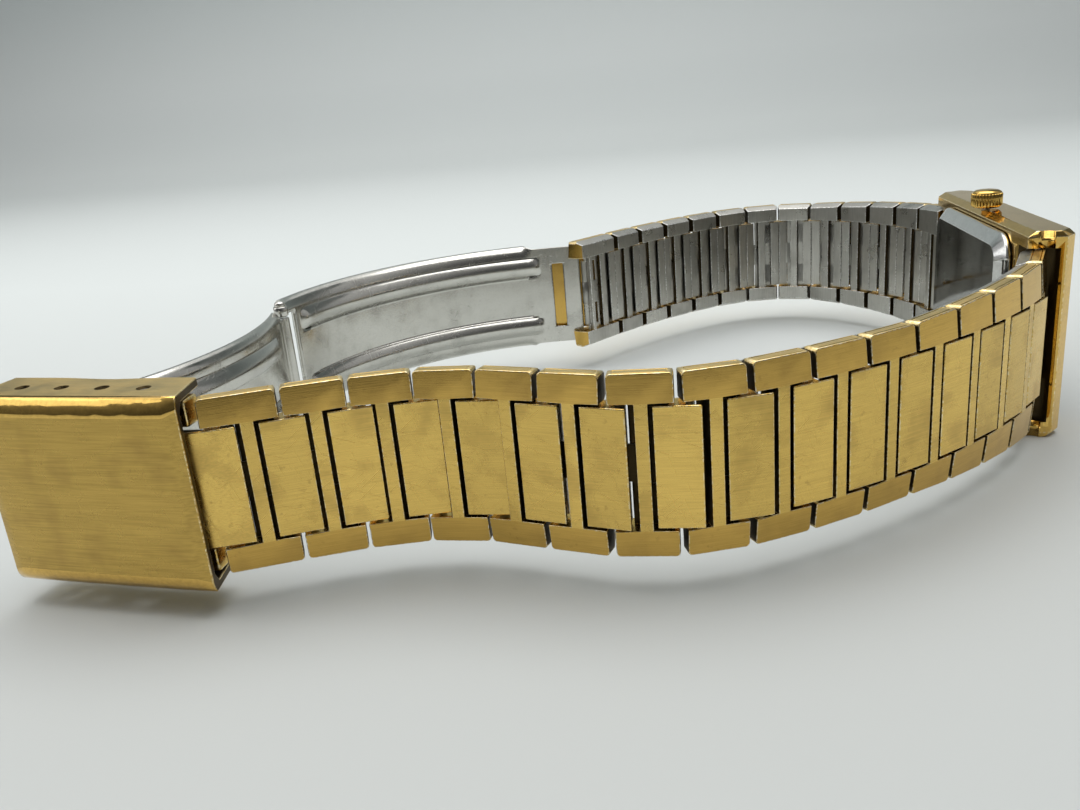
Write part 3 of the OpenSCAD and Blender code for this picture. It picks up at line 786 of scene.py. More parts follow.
@dataclass
class Link:
    """A folded link: an H-shaped shell and, over its pin, a centre plate with a folded leaf."""

    number: int
    side: Side
    place: Place
    reach_in: float
    reach_out: float
    head: float = 0.0
    tail: float = 0.0
    block_in: float = 4.85
    gap: float = 0.34
    out: float = 0.95
    back: float = -1.45
    slant: float = 0.3
    bar: float = 1.0
    bar_back: float = -1.0
    corner: float = 0.32
    lean: float = 0.26
    fall: float = 0.45
    shoulder: float = -0.4
    web_back: float = -0.56
    web_front: float = -0.42
    web_from: float = 0.62
    web_long: float = 0.5

    @property
    def name(self) -> str:
        """The name of the CAD node and of the body."""
        return f"{self.side.name.lower()}_link_{self.number:02d}"

    def shell(self) -> Form:
        """Builds the H-shaped shell: two end blocks and the crossbar between them.

        Returns:
            The shell.
        """
        left, right = self.gap / 2 - self.head, PITCH - self.gap / 2 + self.tail
        bar_left, bar_right = (PITCH - self.bar) / 2, (PITCH + self.bar) / 2
        form = Form()
        rows = {}
        # Each block joins its inner face, which goes round the crossbar too, to its outer face.
        for way in (1, -1):
            inner = [(left, self.out), (bar_left, self.out), (bar_left, self.bar_back), (bar_right, self.bar_back),
                     (bar_right, self.out), (right, self.out), (right, self.shoulder),
                     (right - self.slant, self.back), (left + self.slant, self.back), (left, self.shoulder)]
            near = [form.bm.verts.new((x, y, way * self.block_in)) for x, y in inner]
            front = self.out - self.lean
            outer = [(left, front, 0.0), (right, front, 0.0), (right, self.shoulder, 0.0),
                     (right - self.slant, self.back, self.fall), (left + self.slant, self.back, self.fall),
                     (left, self.shoulder, 0.0)]
            far = []
            for x, y, lower in outer:
                reach = self.reach_in + (self.reach_out - self.reach_in) * x / PITCH
                far.append(form.bm.verts.new((x, y, way * (reach - lower))))
            form.bm.faces.new(near)
            form.bm.faces.new((far[0], far[1], far[2], far[5]))
            form.bm.faces.new((far[2], far[3], far[4], far[5]))
            form.bm.faces.new([near[0], near[1], near[4], near[5], far[1], far[0]])
            for i, j, k, m in ((5, 6, 1, 2), (6, 7, 2, 3), (7, 8, 3, 4), (8, 9, 4, 5), (9, 0, 5, 0)):
                form.bm.faces.new([near[i], near[j], far[m], far[k]])
            rows[way] = near
        # The crossbar's four sides run from one block's inner face to the other's.
        top, low = rows[1], rows[-1]
        for i, j in ((1, 2), (2, 3), (3, 4), (4, 1)):
            form.bm.faces.new([top[i], top[j], low[j], low[i]])
        edge = min(self.reach_in, self.reach_out) - 0.5

        def at_corner(e: bmesh.types.BMEdge) -> bool:
            """Finds the edges at the outer corners of the blocks."""
            outside = all(abs(v.co.z) > edge and v.co.y > self.shoulder - 0.01 for v in e.verts)
            return outside and abs(e.verts[0].co.y - e.verts[1].co.y) > 0.3

        form.soften(self.corner, 4, where=at_corner)
        form.soften(0.08, 2)
        self.groove(form)
        return form

    @staticmethod
    def groove(form: Form) -> None:
        """Presses a fine closed line into the end faces of the two blocks.

        Args:
            form: The shell.
        """
        ends = [f for f in form.bm.faces
                if abs(f.normal.z) > 0.97 and f.calc_area() > 1.5 and f.calc_center_median().y > 0]
        for thickness, depth in ((0.1, 0.0), (0.05, -0.07), (0.05, 0.07)):
            bmesh.ops.inset_individual(form.bm, faces=ends, thickness=thickness, depth=depth, use_even_offset=True)

    def hinges(self) -> Form:
        """Builds the knuckles round the pin, the tongue to the next link and two webs between the blocks.

        Returns:
            The knuckles and webs.
        """
        near, far = (PITCH - self.bar) / 2, (PITCH + self.bar) / 2
        form = Form().knuckles(near + 0.05)
        form.rod(KNUCKLE_RADIUS, -MIDDLE_KNUCKLE, MIDDLE_KNUCKLE, (PITCH, 0.0))
        form.block((far - 0.05, -KNUCKLE_RADIUS, -MIDDLE_KNUCKLE), (PITCH, WEB_FRONT, MIDDLE_KNUCKLE))
        web = self.block_in - 0.02
        for low, high in ((self.web_from, near + 0.02), (far - 0.02, far - 0.02 + self.web_long)):
            form.block((low, self.web_back, -web), (high, self.web_front, web))
        return form

    def _look(self, face: Face) -> int:
        """Chooses the finish of a face of the shell.

        Args:
            face: The face.

        Returns:
            1 (steel) for what faces the wrist, 4 (painted shade) on the block walls across the gaps, 3 for the
            crossbar,
            2 (satin) for the ends of the blocks, and 0 (polished) for the rest.
        """
        centre, normal = face.calc_center_median(), face.normal
        if normal.y < -0.35 and centre.y < -0.2:
            return 1
        if abs(normal.x) > 0.9 and 0 < centre.x < PITCH:
            return 4
        if abs(centre.z) < self.block_in:
            return 3
        corner = min(abs(normal.x), abs(normal.z)) > 0.2
        return 2 if corner or abs(normal.z) > 0.9 else 0

    def build(self) -> None:
        """Makes the link's pieces."""
        shell = self.shell().paint(self._look).mirrored(self.side)
        Piece(f"{self.name}_shell", self.name, "link_gold",
              "link_gold link_steel satin_gold plate_gold cover_inside", self.place).make(shell, self.name)
        # The knuckle and web faces that face out, behind the plate and the slits, get painted shade.
        hinges = self.hinges().paint(lambda face: int(face.normal.y > 0.1)).mirrored(self.side)
        Piece(f"{self.name}_knuckles", self.name, "link_gold", "link_steel cover_inside", self.place).make(hinges)
        plate = FoldedPlate().form().mirrored(self.side)
        Piece(f"{self.name}_plate", self.name, "link_gold", "plate_gold link_steel", self.place).make(plate)
        if self.number > 1:
            pin = Form().rod(PIN_RADIUS, -PLATE_HALF + 0.02, PLATE_HALF - 0.02)
            Piece(f"{self.name}_pin", self.name, "pin_steel", "link_steel", self.place).make(pin)


@dataclass
class Bracelet:
    """The two chains of links, from the case to the clasp."""

    layout: Layout
    half: float = 7.0
    flare: float = 1.2
    flare_links: int = 5
    first_head: float = 1.0
    upper_tail: float = 0.95
    lower_tail: float = 2.2

    def reach(self, links: int) -> float:
        """Gives half the bracelet's width, a number of links away from the case."""
        return self.half + self.flare * max(0.0, 1 - links / self.flare_links)

    def build(self) -> None:
        """Makes every link, the first ones longer towards the case and the last ones towards the clasp."""
        sides = ((Side.UPPER, self.layout.upper_pins(), self.upper_tail),
                 (Side.LOWER, self.layout.lower_pins(), self.lower_tail))
        for side, pins, last in sides:
            for number, (start, end) in enumerate(zip(pins, pins[1:]), 1):
                place = Place(start.x, start.y, self.layout.heading(start, end))
                head = self.first_head if number == 1 else 0.0
                tail = last if number == len(pins) - 1 else 0.0
                Link(number, side, place, self.reach(number - 1), self.reach(number), head, tail).build()


@dataclass
class EndLink:
    """The clasp's end link: a plate that runs on under the cover, two side parts and the spring bar's tube."""

    place: Place
    body: str = "clasp_end_link"
    bar_at: float = 4.8
    plate_to: float = 2.3
    tilt: float = 20.0
    tab_low: Point = (1.35, -1.1, 4.86)
    tab_high: Point = (3.9, 0.78, 6.95)
    tube_half: float = 6.0
    tube_radius: float = 0.85
    bar_radius: float = 0.4
    tip_radius: float = 0.4
    neck: float = 6.8
    reach: float = 7.65

    def tabs(self) -> Form:
        """Builds the two side parts that reach out beside the last link.

        Returns:
            The two parts.
        """
        form = Form()
        for low, high in both_sides(self.tab_low[2], self.tab_high[2]):
            form.pad((*self.tab_low[:2], low), (*self.tab_high[:2], high), 0.22, 3)
        return form

    def tube(self) -> Form:
        """Builds the tube, the webs to it and the knuckles round the last pin."""
        form = Form().rod(self.tube_radius, -self.tube_half, self.tube_half, (self.bar_at, 0.0), 0.12, 40)
        return form.knuckles(4.2)

    def bar(self) -> Form:
        """Builds the spring bar with its thin tips, which end inside the cover's holes.

        Returns:
            The bar.
        """
        tip, chamfer = self.tip_radius, 0.08
        half = [(self.bar_radius, self.neck), (tip, self.neck + 0.1), (tip, self.reach - chamfer),
                (tip - chamfer, self.reach)]
        profile = [(r, -z) for r, z in reversed(half)] + half
        return Form().turn(profile, 32).moved((self.bar_at, 0.0, 0.0))

    def build(self) -> None:
        """Makes the end link's pieces."""
        looks = "plate_gold link_steel"
        plate = FoldedPlate(self.plate_to, self.tilt).form()
        Piece("clasp_end_plate", self.body, "link_gold", looks, self.place).make(plate, "clasp_end_link")
        Piece("clasp_end_tabs", self.body, "link_gold", looks, self.place).make(self.tabs())
        Piece("clasp_end_tube", self.body, "link_gold", "link_steel", self.place).make(self.tube())
        Piece("clasp_spring_bar", self.body, "pin_steel", "link_steel", self.place).make(self.bar())


@dataclass
class Cover:
    """The clasp cover: a shallow tray with a bevelled face, slightly arched, and four pairs of holes."""

    place: Place
    length: float = 18.5
    half: float = 7.8
    depth: float = 5.2
    wall: float = 0.7
    bevel: float = 1.45
    bevel_drop: float = 0.75
    bevel_turn: float = 58.0
    bevel_steps: int = 5
    stations: int = 56
    cove_deep: float = 1.5
    cove_wide: float = 0.7
    end_bevel: float = 1.15
    end_drop: float = 0.3
    end_slant: float = 1.6
    slant_long: float = 5.0
    arch: float = 0.22
    waist: float = 0.4
    waist_at: float = 9.0
    waist_long: float = 3.2
    hole_radius: float = 0.55
    hole_step: float = 3.7

    def ring(self, x: float) -> list[Point]:
        """Gives the section at a place along the cover.

        Args:
            x: The distance from the bracelet's end.

        Returns:
            The section's corners, from the outer face round to the inside.
        """
        end = max(0.0, 1 - min(x, self.length - x) / self.end_bevel)
        bulge = self.arch * (1 - (2 * x / self.length - 1) ** 2)
        face = bulge - self.end_drop * end
        inset = self.bevel - (self.bevel - 0.25) * 0.35 * end
        low = min(face - 0.16, -self.bevel_drop + 0.5 * bulge)
        back = -self.depth + self.waist * math.exp(-((x - self.waist_at) / self.waist_long) ** 2)
        whole = math.radians(self.bevel_turn)
        side = []
        for i in range(self.bevel_steps + 1):
            turn = whole * i / self.bevel_steps
            share_in = 1 - math.sin(turn) / math.sin(whole)
            share_down = (1 - math.cos(turn)) / (1 - math.cos(whole))
            side.append((face + (low - face) * share_down, self.half - inset * share_in))
        inner = self.half - self.wall
        side += [(back, self.half), (back, inner), (-self.cove_deep, inner),
                 (-self.wall - 0.25, inner - self.cove_wide)]
        right = [(y, -z) for y, z in reversed(side)]
        slant = self.end_slant * max(0.0, 1 - x / self.slant_long) / self.depth
        return [(x + slant * max(0.0, -y), y, z) for y, z in side + right]

    def tray(self) -> Form:
        """Builds the tray with its holes.

        Returns:
            The tray.
        """
        long = self.length - 2 * self.end_bevel
        stations = [self.end_bevel + long * i / self.stations for i in range(self.stations)]
        stations = [0.0, *stations, self.length - self.end_bevel, self.length]
        form = Form().loft([self.ring(x) for x in stations])
        form.soften(0.1, 2, 40.0)
        for i in range(4):
            at = (BAR_IN + i * self.hole_step, -BAR_DEEP)
            for low, high in both_sides(self.half - 1.3, self.half + 0.7):
                form.cut(Form().rod(self.hole_radius, low, high, at, 0.01, 36))
        return form

    def pin(self) -> Form:
        """Builds the pin of the middle blade."""
        inner = self.half - self.wall - 0.03
        return Form().rod(PIN_RADIUS, -inner, inner, (HINGE_IN, -HINGE_DEEP))

    def build(self) -> None:
        """Makes the cover's pieces."""
        Piece("clasp_cover_tray", "clasp_cover", "cover_gold", "cover_gold bevel_gold cover_inside satin_gold",
              self.place).make(self.tray().paint(self._finish), "clasp_cover")
        Piece("clasp_hinge_pin", "clasp_cover", "pin_steel", "link_steel", self.place).make(self.pin())

    def _finish(self, face: Face) -> int:
        """Chooses polished gold for the long bevels, satin gold for the walls, painted shade inside and in the
        holes.

        Args:
            face: A face of the tray.

        Returns:
            The finish's number.
        """
        centre = face.calc_center_median()
        inner = self.half - self.wall
        if abs(centre.z) < inner + 0.02 and centre.y < -self.wall + 0.1 and 0.3 < centre.x < self.length - 0.3:
            return 2
        if inner < abs(centre.z) < self.half - 0.02 and -3.3 < centre.y < -1.9 and abs(face.normal.z) < 0.2:
            return 2
        if abs(face.normal.z) > 0.9:
            return 3
        return 1 if self.half - self.bevel < abs(centre.z) and face.normal.y > 0.15 else 0


@dataclass(frozen=True)
class Rib:
    """A long pressed rib of a blade: its line, its width, its height and where it runs."""

    z: float
    half: float
    height: float
    start: float
    stop: float


@dataclass
class Blade:
    """A curved clasp blade: a pressed sheet with rolled edges, ribs and openings."""

    name: str
    place: Place
    length: float
    turn: float
    wide: float
    roll: float
    bend: int
    ribs: Sequence[Rib]
    start: float
    stop: float
    roll_stop: float
    holes: Sequence[Point] = ()
    thick: float = 0.42
    roll_wide: float = 1.05
    roll_fade: float = 0.012
    steps: int = 120

    @property
    def radius(self) -> float:
        """The radius of the blade's curve."""
        return self.length / 2 / math.sin(math.radians(self.turn / 2))

    def at(self, share: float, z: float, out: float) -> Point:
        """Gives a point of the blade.

        Args:
            share: The share of the arc, from 0 at its first hinge.
            z: The place across the blade.
            out: The distance out from the sheet's middle, away from the centre of the curve.

        Returns:
            The point in the blade's own frame.
        """
        angle = math.radians(self.turn) * share
        reach = self.radius + out
        return reach * math.sin(angle), self.bend * (self.radius - reach * math.cos(angle)), z

    def height(self, share: float, z: float) -> float:
        """Gives the offset of the sheet that its ribs make.

        Args:
            share: The share of the arc.
            z: The place across the blade.

        Returns:
            The offset.
        """
        found = 0.0
        for rib in self.ribs:
            ends = min(share - rib.start, rib.stop - share) * self.radius * math.radians(self.turn)
            across = abs(z - rib.z) / rib.half
            if ends <= 0 or across >= 1:
                continue
            end = min(1.0, ends / rib.half)
            end = math.sqrt(max(0.0, 1 - (1 - end) ** 2))
            found += rib.height * end * math.cos(across * math.pi / 2) ** 0.8
        return found

    def columns(self) -> list[Pair]:
        """Gives the places across the sheet, each with the share of the rolled edge's angle.

        Returns:
            The columns.
        """
        edge = self.wide / 2 - self.roll_wide
        flat, ribbed, bent = 22, 7, 6
        inner = sorted({round(-edge + 2 * edge * i / flat, 3) for i in range(flat + 1)}
                       | {round(rib.z + rib.half * k / ribbed, 3) for rib in self.ribs
                          for k in range(-ribbed, ribbed + 1)})
        inner = [z for z in inner if -edge <= z <= edge]
        rolled = [(edge + self.roll_wide * math.sin(math.radians(90 * i / bent)), i / bent)
                  for i in range(1, bent + 1)]
        return [(-z, a) for z, a in reversed(rolled)] + [(z, 0.0) for z in inner] + rolled

    def sheet(self) -> Form:
        """Builds the pressed sheet with its openings.

        Returns:
            The sheet.
        """
        form = Form()
        columns = self.columns()
        rows = []
        for i in range(self.steps + 1):
            share = self.start + (self.stop - self.start) * i / self.steps
            fade = max(0.0, min(1.0, (self.roll_stop - share) / self.roll_fade))
            row = []
            for z, angle in columns:
                out = self.height(share, z) + self.roll * fade * (1 - math.cos(math.radians(90 * angle)))
                row.append(form.bm.verts.new(self.at(share, z, out)))
            rows.append((share, row))
        for (first, low), (second, high) in zip(rows, rows[1:]):
            middle = (first + second) / 2
            for j in range(len(columns) - 1):
                z = (columns[j][0] + columns[j + 1][0]) / 2
                if any(a < middle < b and abs(z) < half for a, b, half in self.holes):
                    continue
                form.bm.faces.new((low[j], low[j + 1], high[j + 1], high[j]))
        form.fixed()
        bmesh.ops.solidify(form.bm, geom=form.bm.faces[:], thickness=self.thick)
        return form

    def strip(self, first: float, last: float, half: float, offset: float = 0.0) -> Form:
        """Builds a plain stretch along the sheet.

        Args:
            first: The share of the arc where it starts.
            last: The share where it ends.
            half: Half of its width.
            offset: Its distance out from the sheet's middle.

        Returns:
            The stretch.
        """
        corners = [(way * half, offset + out * self.thick / 2) for way, out in ((-1, -1), (1, -1), (1, 1), (-1, 1))]
        shares = [first + (last - first) * i / 6 for i in range(7)]
        return Form().loft([[self.at(share, z, out) for z, out in corners] for share in shares])

    def build(self, extra: Form) -> None:
        """Makes the blade's sheet, and the knuckles and strips that belong to it."""
        for part, form, nodes in (("sheet", self.sheet(), (self.name,)), ("knuckles", extra, ())):
            Piece(f"{self.name}_{part}", self.name, "blade_steel", "blade_steel", self.place).make(form, *nodes)


@dataclass
class Clasp:
    """The fold-over clasp: its cover, its end link and its two blades."""

    layout: Layout
    middle_length: float = 32.5
    middle_turn: float = 60.0
    inner_turn: float = 84.0
    knuckle_half: float = 4.96
    side_low: float = 5.14
    side_high: float = 6.24
    first_knuckle: float = 0.72
    knee_knuckle: float = 0.74
    side_knuckle: float = 0.76
    lip_radius: float = 0.24
    rim_radius: float = 0.2
    rims: Pair = (0.898, 0.941)

    def middle(self) -> tuple[Blade, Form]:
        """Describes the blade in the middle, and builds its knuckles.

        Returns:
            The blade and its knuckles.
        """
        hinge, knee = self.layout.joint("middle_blade_hinge"), self.layout.joint("inner_blade_hinge")
        place = Place(hinge.x, hinge.y, self.layout.heading(hinge, knee) - self.middle_turn / 2)
        ribs = [Rib(way * 3.0, 1.15, 0.55, 0.1, 0.84) for way in (1, -1)]
        blade = Blade("middle_blade", place, self.middle_length, self.middle_turn, wide=12.0, roll=-0.8, bend=1,
                      ribs=ribs, start=0.035, stop=0.945, roll_stop=1.1)
        form = Form().rod(self.first_knuckle, -5.9, 5.9, chamfer=0.1)
        end = blade.at(1.0, 0.0, 0.0)
        form.rod(self.knee_knuckle, -self.knuckle_half, self.knuckle_half, end[:2], 0.12, 40)
        form.add(blade.strip(0.93, 0.992, self.knuckle_half))
        for way in (1, -1):
            dome = [(0.56, 0.0), (0.6, 0.12), (0.58, 0.3), (0.46, 0.44), (0.28, 0.52), (0.08, 0.55)]
            head = Form().turn(dome, 32).moved((end[0], end[1], self.side_high))
            head.bm.transform(Matrix.Scale(way, 4, (0, 0, 1)))
            form.add(head)
        return blade, form

    def inner(self) -> tuple[Blade, Form]:
        """Describes the blade on the wrist's side, and builds its knuckle and the strip beside its slot.

        Returns:
            The blade and its knuckles.
        """
        knee, end = self.layout.joint("inner_blade_hinge"), self.layout.lower_pins()[-1]
        place = Place(knee.x, knee.y, self.layout.heading(knee, end) + self.inner_turn / 2)
        ribs = [Rib(way * 3.95, 0.95, -0.5, 0.075, 0.862) for way in (1, -1)]
        holes = [(0.0, 0.046, 5.15), (0.9, 0.938, 4.2)]
        blade = Blade("inner_blade", place, INNER_LENGTH, self.inner_turn, wide=12.6, roll=0.8, bend=-1, ribs=ribs,
                      start=0.012, stop=0.985, roll_stop=0.84, holes=holes)
        form = Form()
        for low, high in both_sides(self.side_low, self.side_high):
            form.rod(self.side_knuckle, low, high, chamfer=0.1, steps=40)
        lip = blade.at(0.05, 0.0, -0.2)
        form.rod(self.lip_radius, -5.15, 5.15, lip[:2], 0.08)
        for share in self.rims:
            rim = blade.at(share, 0.0, -0.12)
            form.rod(self.rim_radius, -4.1, 4.1, rim[:2], 0.1)
        return blade, form

    def build(self) -> None:
        """Makes the clasp."""
        pins = self.layout.upper_pins()
        bar = self.layout.joint("clasp_cover_hinge")
        EndLink(Place(pins[-1].x, pins[-1].y, self.layout.heading(pins[-1], bar))).build()
        Cover(self.layout.cover()).build()
        for blade, extra in (self.middle(), self.inner()):
            blade.build(extra)
        last, end = self.layout.lower_pins()[-2:]
        Hook(Place(last.x, last.y, self.layout.heading(last, end)), blade).build()


@dataclass
class Hook:
    """The end piece of the last lower link: its spring bar, two ears, an upright strip and a gold tongue behind."""

    place: Place
    blade: Blade
    body: str = "lower_link_13"
    bar_radius: float = 0.5
    bar_half: float = 4.3
    strip_half: float = 6.5
    ear_low: float = 4.2
    ear_high: float = 6.0
    tongue_half: float = 4.7

    def steel(self) -> Form:
        """Builds the bar, the ears and the strip beside the blade's end.

        Returns:
            The steel parts.
        """
        form = Form().rod(self.bar_radius, -self.bar_half, self.bar_half, (PITCH, 0.0), 0.08)
        for low, high in both_sides(self.ear_low, self.ear_high):
            form.pad((PITCH - 1.2, -0.75, low), (PITCH + 0.5, -0.35, high), 0.06)
        return form.pad((PITCH - 0.1, -1.35, -self.strip_half), (PITCH + 0.45, -1.0, self.strip_half), 0.08)

    def tongue(self) -> Form:
        """Builds the tongue on the outside, which shows through the blade's window."""
        return self.blade.strip(0.895, 1.0, self.tongue_half, 0.62).soften(0.08, 2)

    def build(self) -> None:
        """Makes the end piece."""
        steel = self.steel().mirrored(Side.LOWER)
        Piece(f"{self.body}_hook", self.body, "pin_steel", "link_steel", self.place).make(steel)
        Piece(f"{self.body}_tongue", self.body, "link_gold", "link_gold", self.blade.place).make(self.tongue())


@dataclass
class Case:
    """The case: its bevelled body with lugs, the back, the crown, the crystal and the dial."""

    wide: float = 19.8
    half_long: float = 16.2
    front: float = 3.2
    rear: float = -1.0
    edge: float = 0.5
    rear_edge: float = 0.75
    end_edge: float = 0.12
    window_long: float = 20.0
    window_wide: float = 14.0
    pin_y: float = 15.2
    notch_half: float = 8.35
    notch_from: float = 13.25
    notch_to: float = 17.4
    roof: float = 1.65
    back_long: float = 23.4
    back_wide: float = 17.8
    back_at: float = -1.12
    back_corner: float = 2.6
    bar_bore: float = 0.32
    end_bore: float = 0.8
    end_bore_at: Pair = (0.4, 16.4)
    stem_bore: float = 0.45
    hollow: Pair = (21.0, 15.4)
    seat: Pair = (22.36, 16.36)
    glass: Pair = (21.8, 15.8)
    crown_at: float = 19.95
    crown_radius: float = 1.55
    crown_high: float = 1.9
    stem_x: float = -0.1
    flutes: int = 30
    flute_depth: float = 0.085

    def outline(self, front: float, rear: float, end: float) -> list[Point]:
        """Gives the flank's outline, drawn in at its front, its rear and its ends.

        Args:
            front: The draw at the front.
            rear: The draw at the rear.
            end: The draw at both ends.

        Returns:
            The outline's corners, as x and y.
        """
        x0, x1, h = self.rear + rear, self.front - front, self.half_long - end
        quarter = [(x0, h - 0.6), (0.6, h), (x1 - 1.0, h), (x1, h - 1.2)]
        return quarter + [(x, -y) for x, y in reversed(quarter)]

    @staticmethod
    def octagon(x: float, long: float, wide: float, cut: float) -> list[Point]:
        """Gives a rectangle with its four corners cut, about the case's middle.

        Args:
            x: Its level.
            long: Its size along y.
            wide: Its size along z.
            cut: The size of the cuts.

        Returns:
            The corners.
        """
        a, b = long / 2, wide / 2
        corners = [(a - cut, -b), (a, -b + cut), (a, b - cut), (a - cut, b), (-a + cut, b), (-a, b - cut),
                   (-a, -b + cut), (-a + cut, -b)]
        return [(x, y, z + MID_Z) for y, z in corners]

    def slab(self, low: float, high: float, long: float, wide: float, cut: float = 1.0) -> Form:
        """Builds a slab between two levels of x, with its four corners cut."""
        return Form().loft([self.octagon(x, long, wide, cut) for x in (low, high)])

    def body(self) -> Form:
        """Builds the case body: its notches between the lugs, and the bores and hollows inside.

        Returns:
            The body.
        """
        rings = []
        for z, share in ((0.0, 1), (self.edge, 0), (self.wide - self.edge, 0), (self.wide, 1)):
            drawn = self.outline(self.edge * share, self.rear_edge * share, self.end_edge * share)
            rings.append([(x, y, z) for x, y in drawn])
        form = Form().loft(rings)
        form.soften(0.07, 2, 12.0)
        past = self.wide + 1.2
        left, right = MID_Z - self.notch_half, MID_Z + self.notch_half
        bore_x, bore_y = self.end_bore_at
        for way, (low, high) in zip((1, -1), both_sides(self.notch_from, self.notch_to)):
            form.cut(Form().block((-2.0, low, left), (self.roof, high, right)))
            form.cut(Form().rod(self.bar_bore, 0.7, self.wide - 0.7, (0.0, way * self.pin_y)))
            form.cut(Form().rod(self.end_bore, -1.0, past, (bore_x, way * bore_y), steps=48))
        form.cut(self.slab(-2.0, 1.95, *self.hollow))
        form.cut(self.slab(1.9, 2.8, self.window_long, self.window_wide))
        form.cut(self.slab(2.75, 4.0, *self.seat, 1.2))
        return form.cut(Form().rod(self.stem_bore, MID_Z, past, (self.stem_x, 0.0)))

    def back(self) -> Form:
        """Builds the caseback with its bevelled rim and the notch to prise it off.

        Returns:
            The caseback.
        """
        rings = []
        for inset, deep in ((0.0, 0.0), (0.0, 0.28), (0.1, 0.42), (0.95, 1.05), (1.15, 1.2)):
            r = self.back_corner - inset
            a, b = self.back_long / 2 - inset - r, self.back_wide / 2 - inset - r
            ring = []
            for quarter, (y, z) in enumerate(((a, b), (-a, b), (-a, -b), (a, -b))):
                for i in range(9):
                    t = math.radians(90 * (quarter + i / 8))
                    ring.append((self.back_at - deep, y + r * math.cos(t), MID_Z + z + r * math.sin(t)))
            rings.append(ring)
        form = Form().loft(rings)
        form.soften(0.06, 2, 20.0)
        notch = Form().block((self.back_at - 0.62, -self.back_long / 2 - 0.5, MID_Z + 5.2),
                             (self.back_at - 0.16, -self.back_long / 2 + 0.6, MID_Z + 6.6))
        return form.cut(notch)

    def crown(self) -> Form:
        """Builds the fluted crown, tapered below and domed above.

        Returns:
            The crown.
        """
        r, high = self.crown_radius, self.crown_high

        def flute(angle: float) -> float:
            """Gives the factor of the flutes at an angle."""
            return 1.0 - self.flute_depth * (0.5 - 0.5 * math.cos(self.flutes * angle)) ** 0.8

        grip = Form().turn([(r - 0.55, 0.0), (r - 0.3, 0.02), (r - 0.03, 0.26), (r, 0.36), (r, high - 0.5),
                            (r - 0.03, high - 0.42)], 224, flute)
        cap = Form().turn([(r - 0.16, high - 0.5), (r - 0.1, high - 0.4), (r - 0.16, high - 0.26),
                           (r - 0.45, high - 0.1), (r - 0.9, high - 0.03), (r - 1.4, high - 0.01)], 96)
        return grip.add(cap).moved((self.stem_x, 0.0, self.crown_at))

    def crystal(self) -> Form:
        """Builds the bevelled crystal.

        Returns:
            The crystal.
        """
        long, wide = self.glass
        levels = ((0.0, 2.75), (0.0, 3.3), (0.5, 3.55))
        return Form().loft([self.octagon(x, long - drawn, wide - drawn, 1.0) for drawn, x in levels])

    def ticks(self) -> Form:
        """Builds the printed minute ticks near the edge of the dial.

        Returns:
            The ticks.
        """
        form = Form()
        a, b = self.window_long / 2 - 0.45, self.window_wide / 2 - 0.45
        length, half_wide, half_high, level, inwards, never = 0.35, 0.05, 0.012, 1.967, 0.98, 99.0
        for minute in range(60):
            if minute % 5 == 0:
                continue
            angle = math.radians(6 * minute)
            across, up = math.sin(angle), math.cos(angle)
            reach = min(a / abs(up) if up else never, b / abs(across) if across else never)
            y, z = -up * reach, across * reach
            tick = Form().block((-half_high, -length / 2, -half_wide), (half_high, length / 2, half_wide))
            tick.bm.transform(Matrix.Rotation(math.atan2(z, y), 4, "X"))
            form.add(tick.moved((level, y * inwards, MID_Z + z * inwards)))
        return form

    def _in_notch(self, face: Face) -> int:
        """Chooses a dark finish for the walls of the two notches between the lugs, which the first links shade.

        Args:
            face: A face of the body.

        Returns:
            1 in a notch, 0 elsewhere.
        """
        centre = face.calc_center_median()
        deep = 13.2 < abs(centre.y) < 15.6 and -0.9 < centre.x < self.roof + 0.02
        return 1 if deep and abs(centre.z - MID_Z) < self.notch_half + 0.02 else 0

    def build(self) -> None:
        """Makes the case's pieces."""
        body = self.body().paint(self._in_notch)
        Piece("case_shell", "case", "case_gold", "polished_gold cover_inside").make(body, "case_body")
        # The flat back gets the near-black back_steel, a painted dark reflection, and the bevelled rim the bright
        # back_rim.
        back = self.back().paint(lambda face: int(face.normal.x >= -0.97))
        Piece("case_back_cap", "case", "back_steel", "back_steel back_rim").make(back, "caseback")
        Piece("crown_cap", "winding_stem", "crown_gold", "polished_gold").make(self.crown(), "crown")
        Piece("crystal_glass", "case", "crystal_glass", "crystal_glass").make(self.crystal(), "crystal")
        Piece("dial_ticks", "case", "hand_gold", "seal_rubber").make(self.ticks())


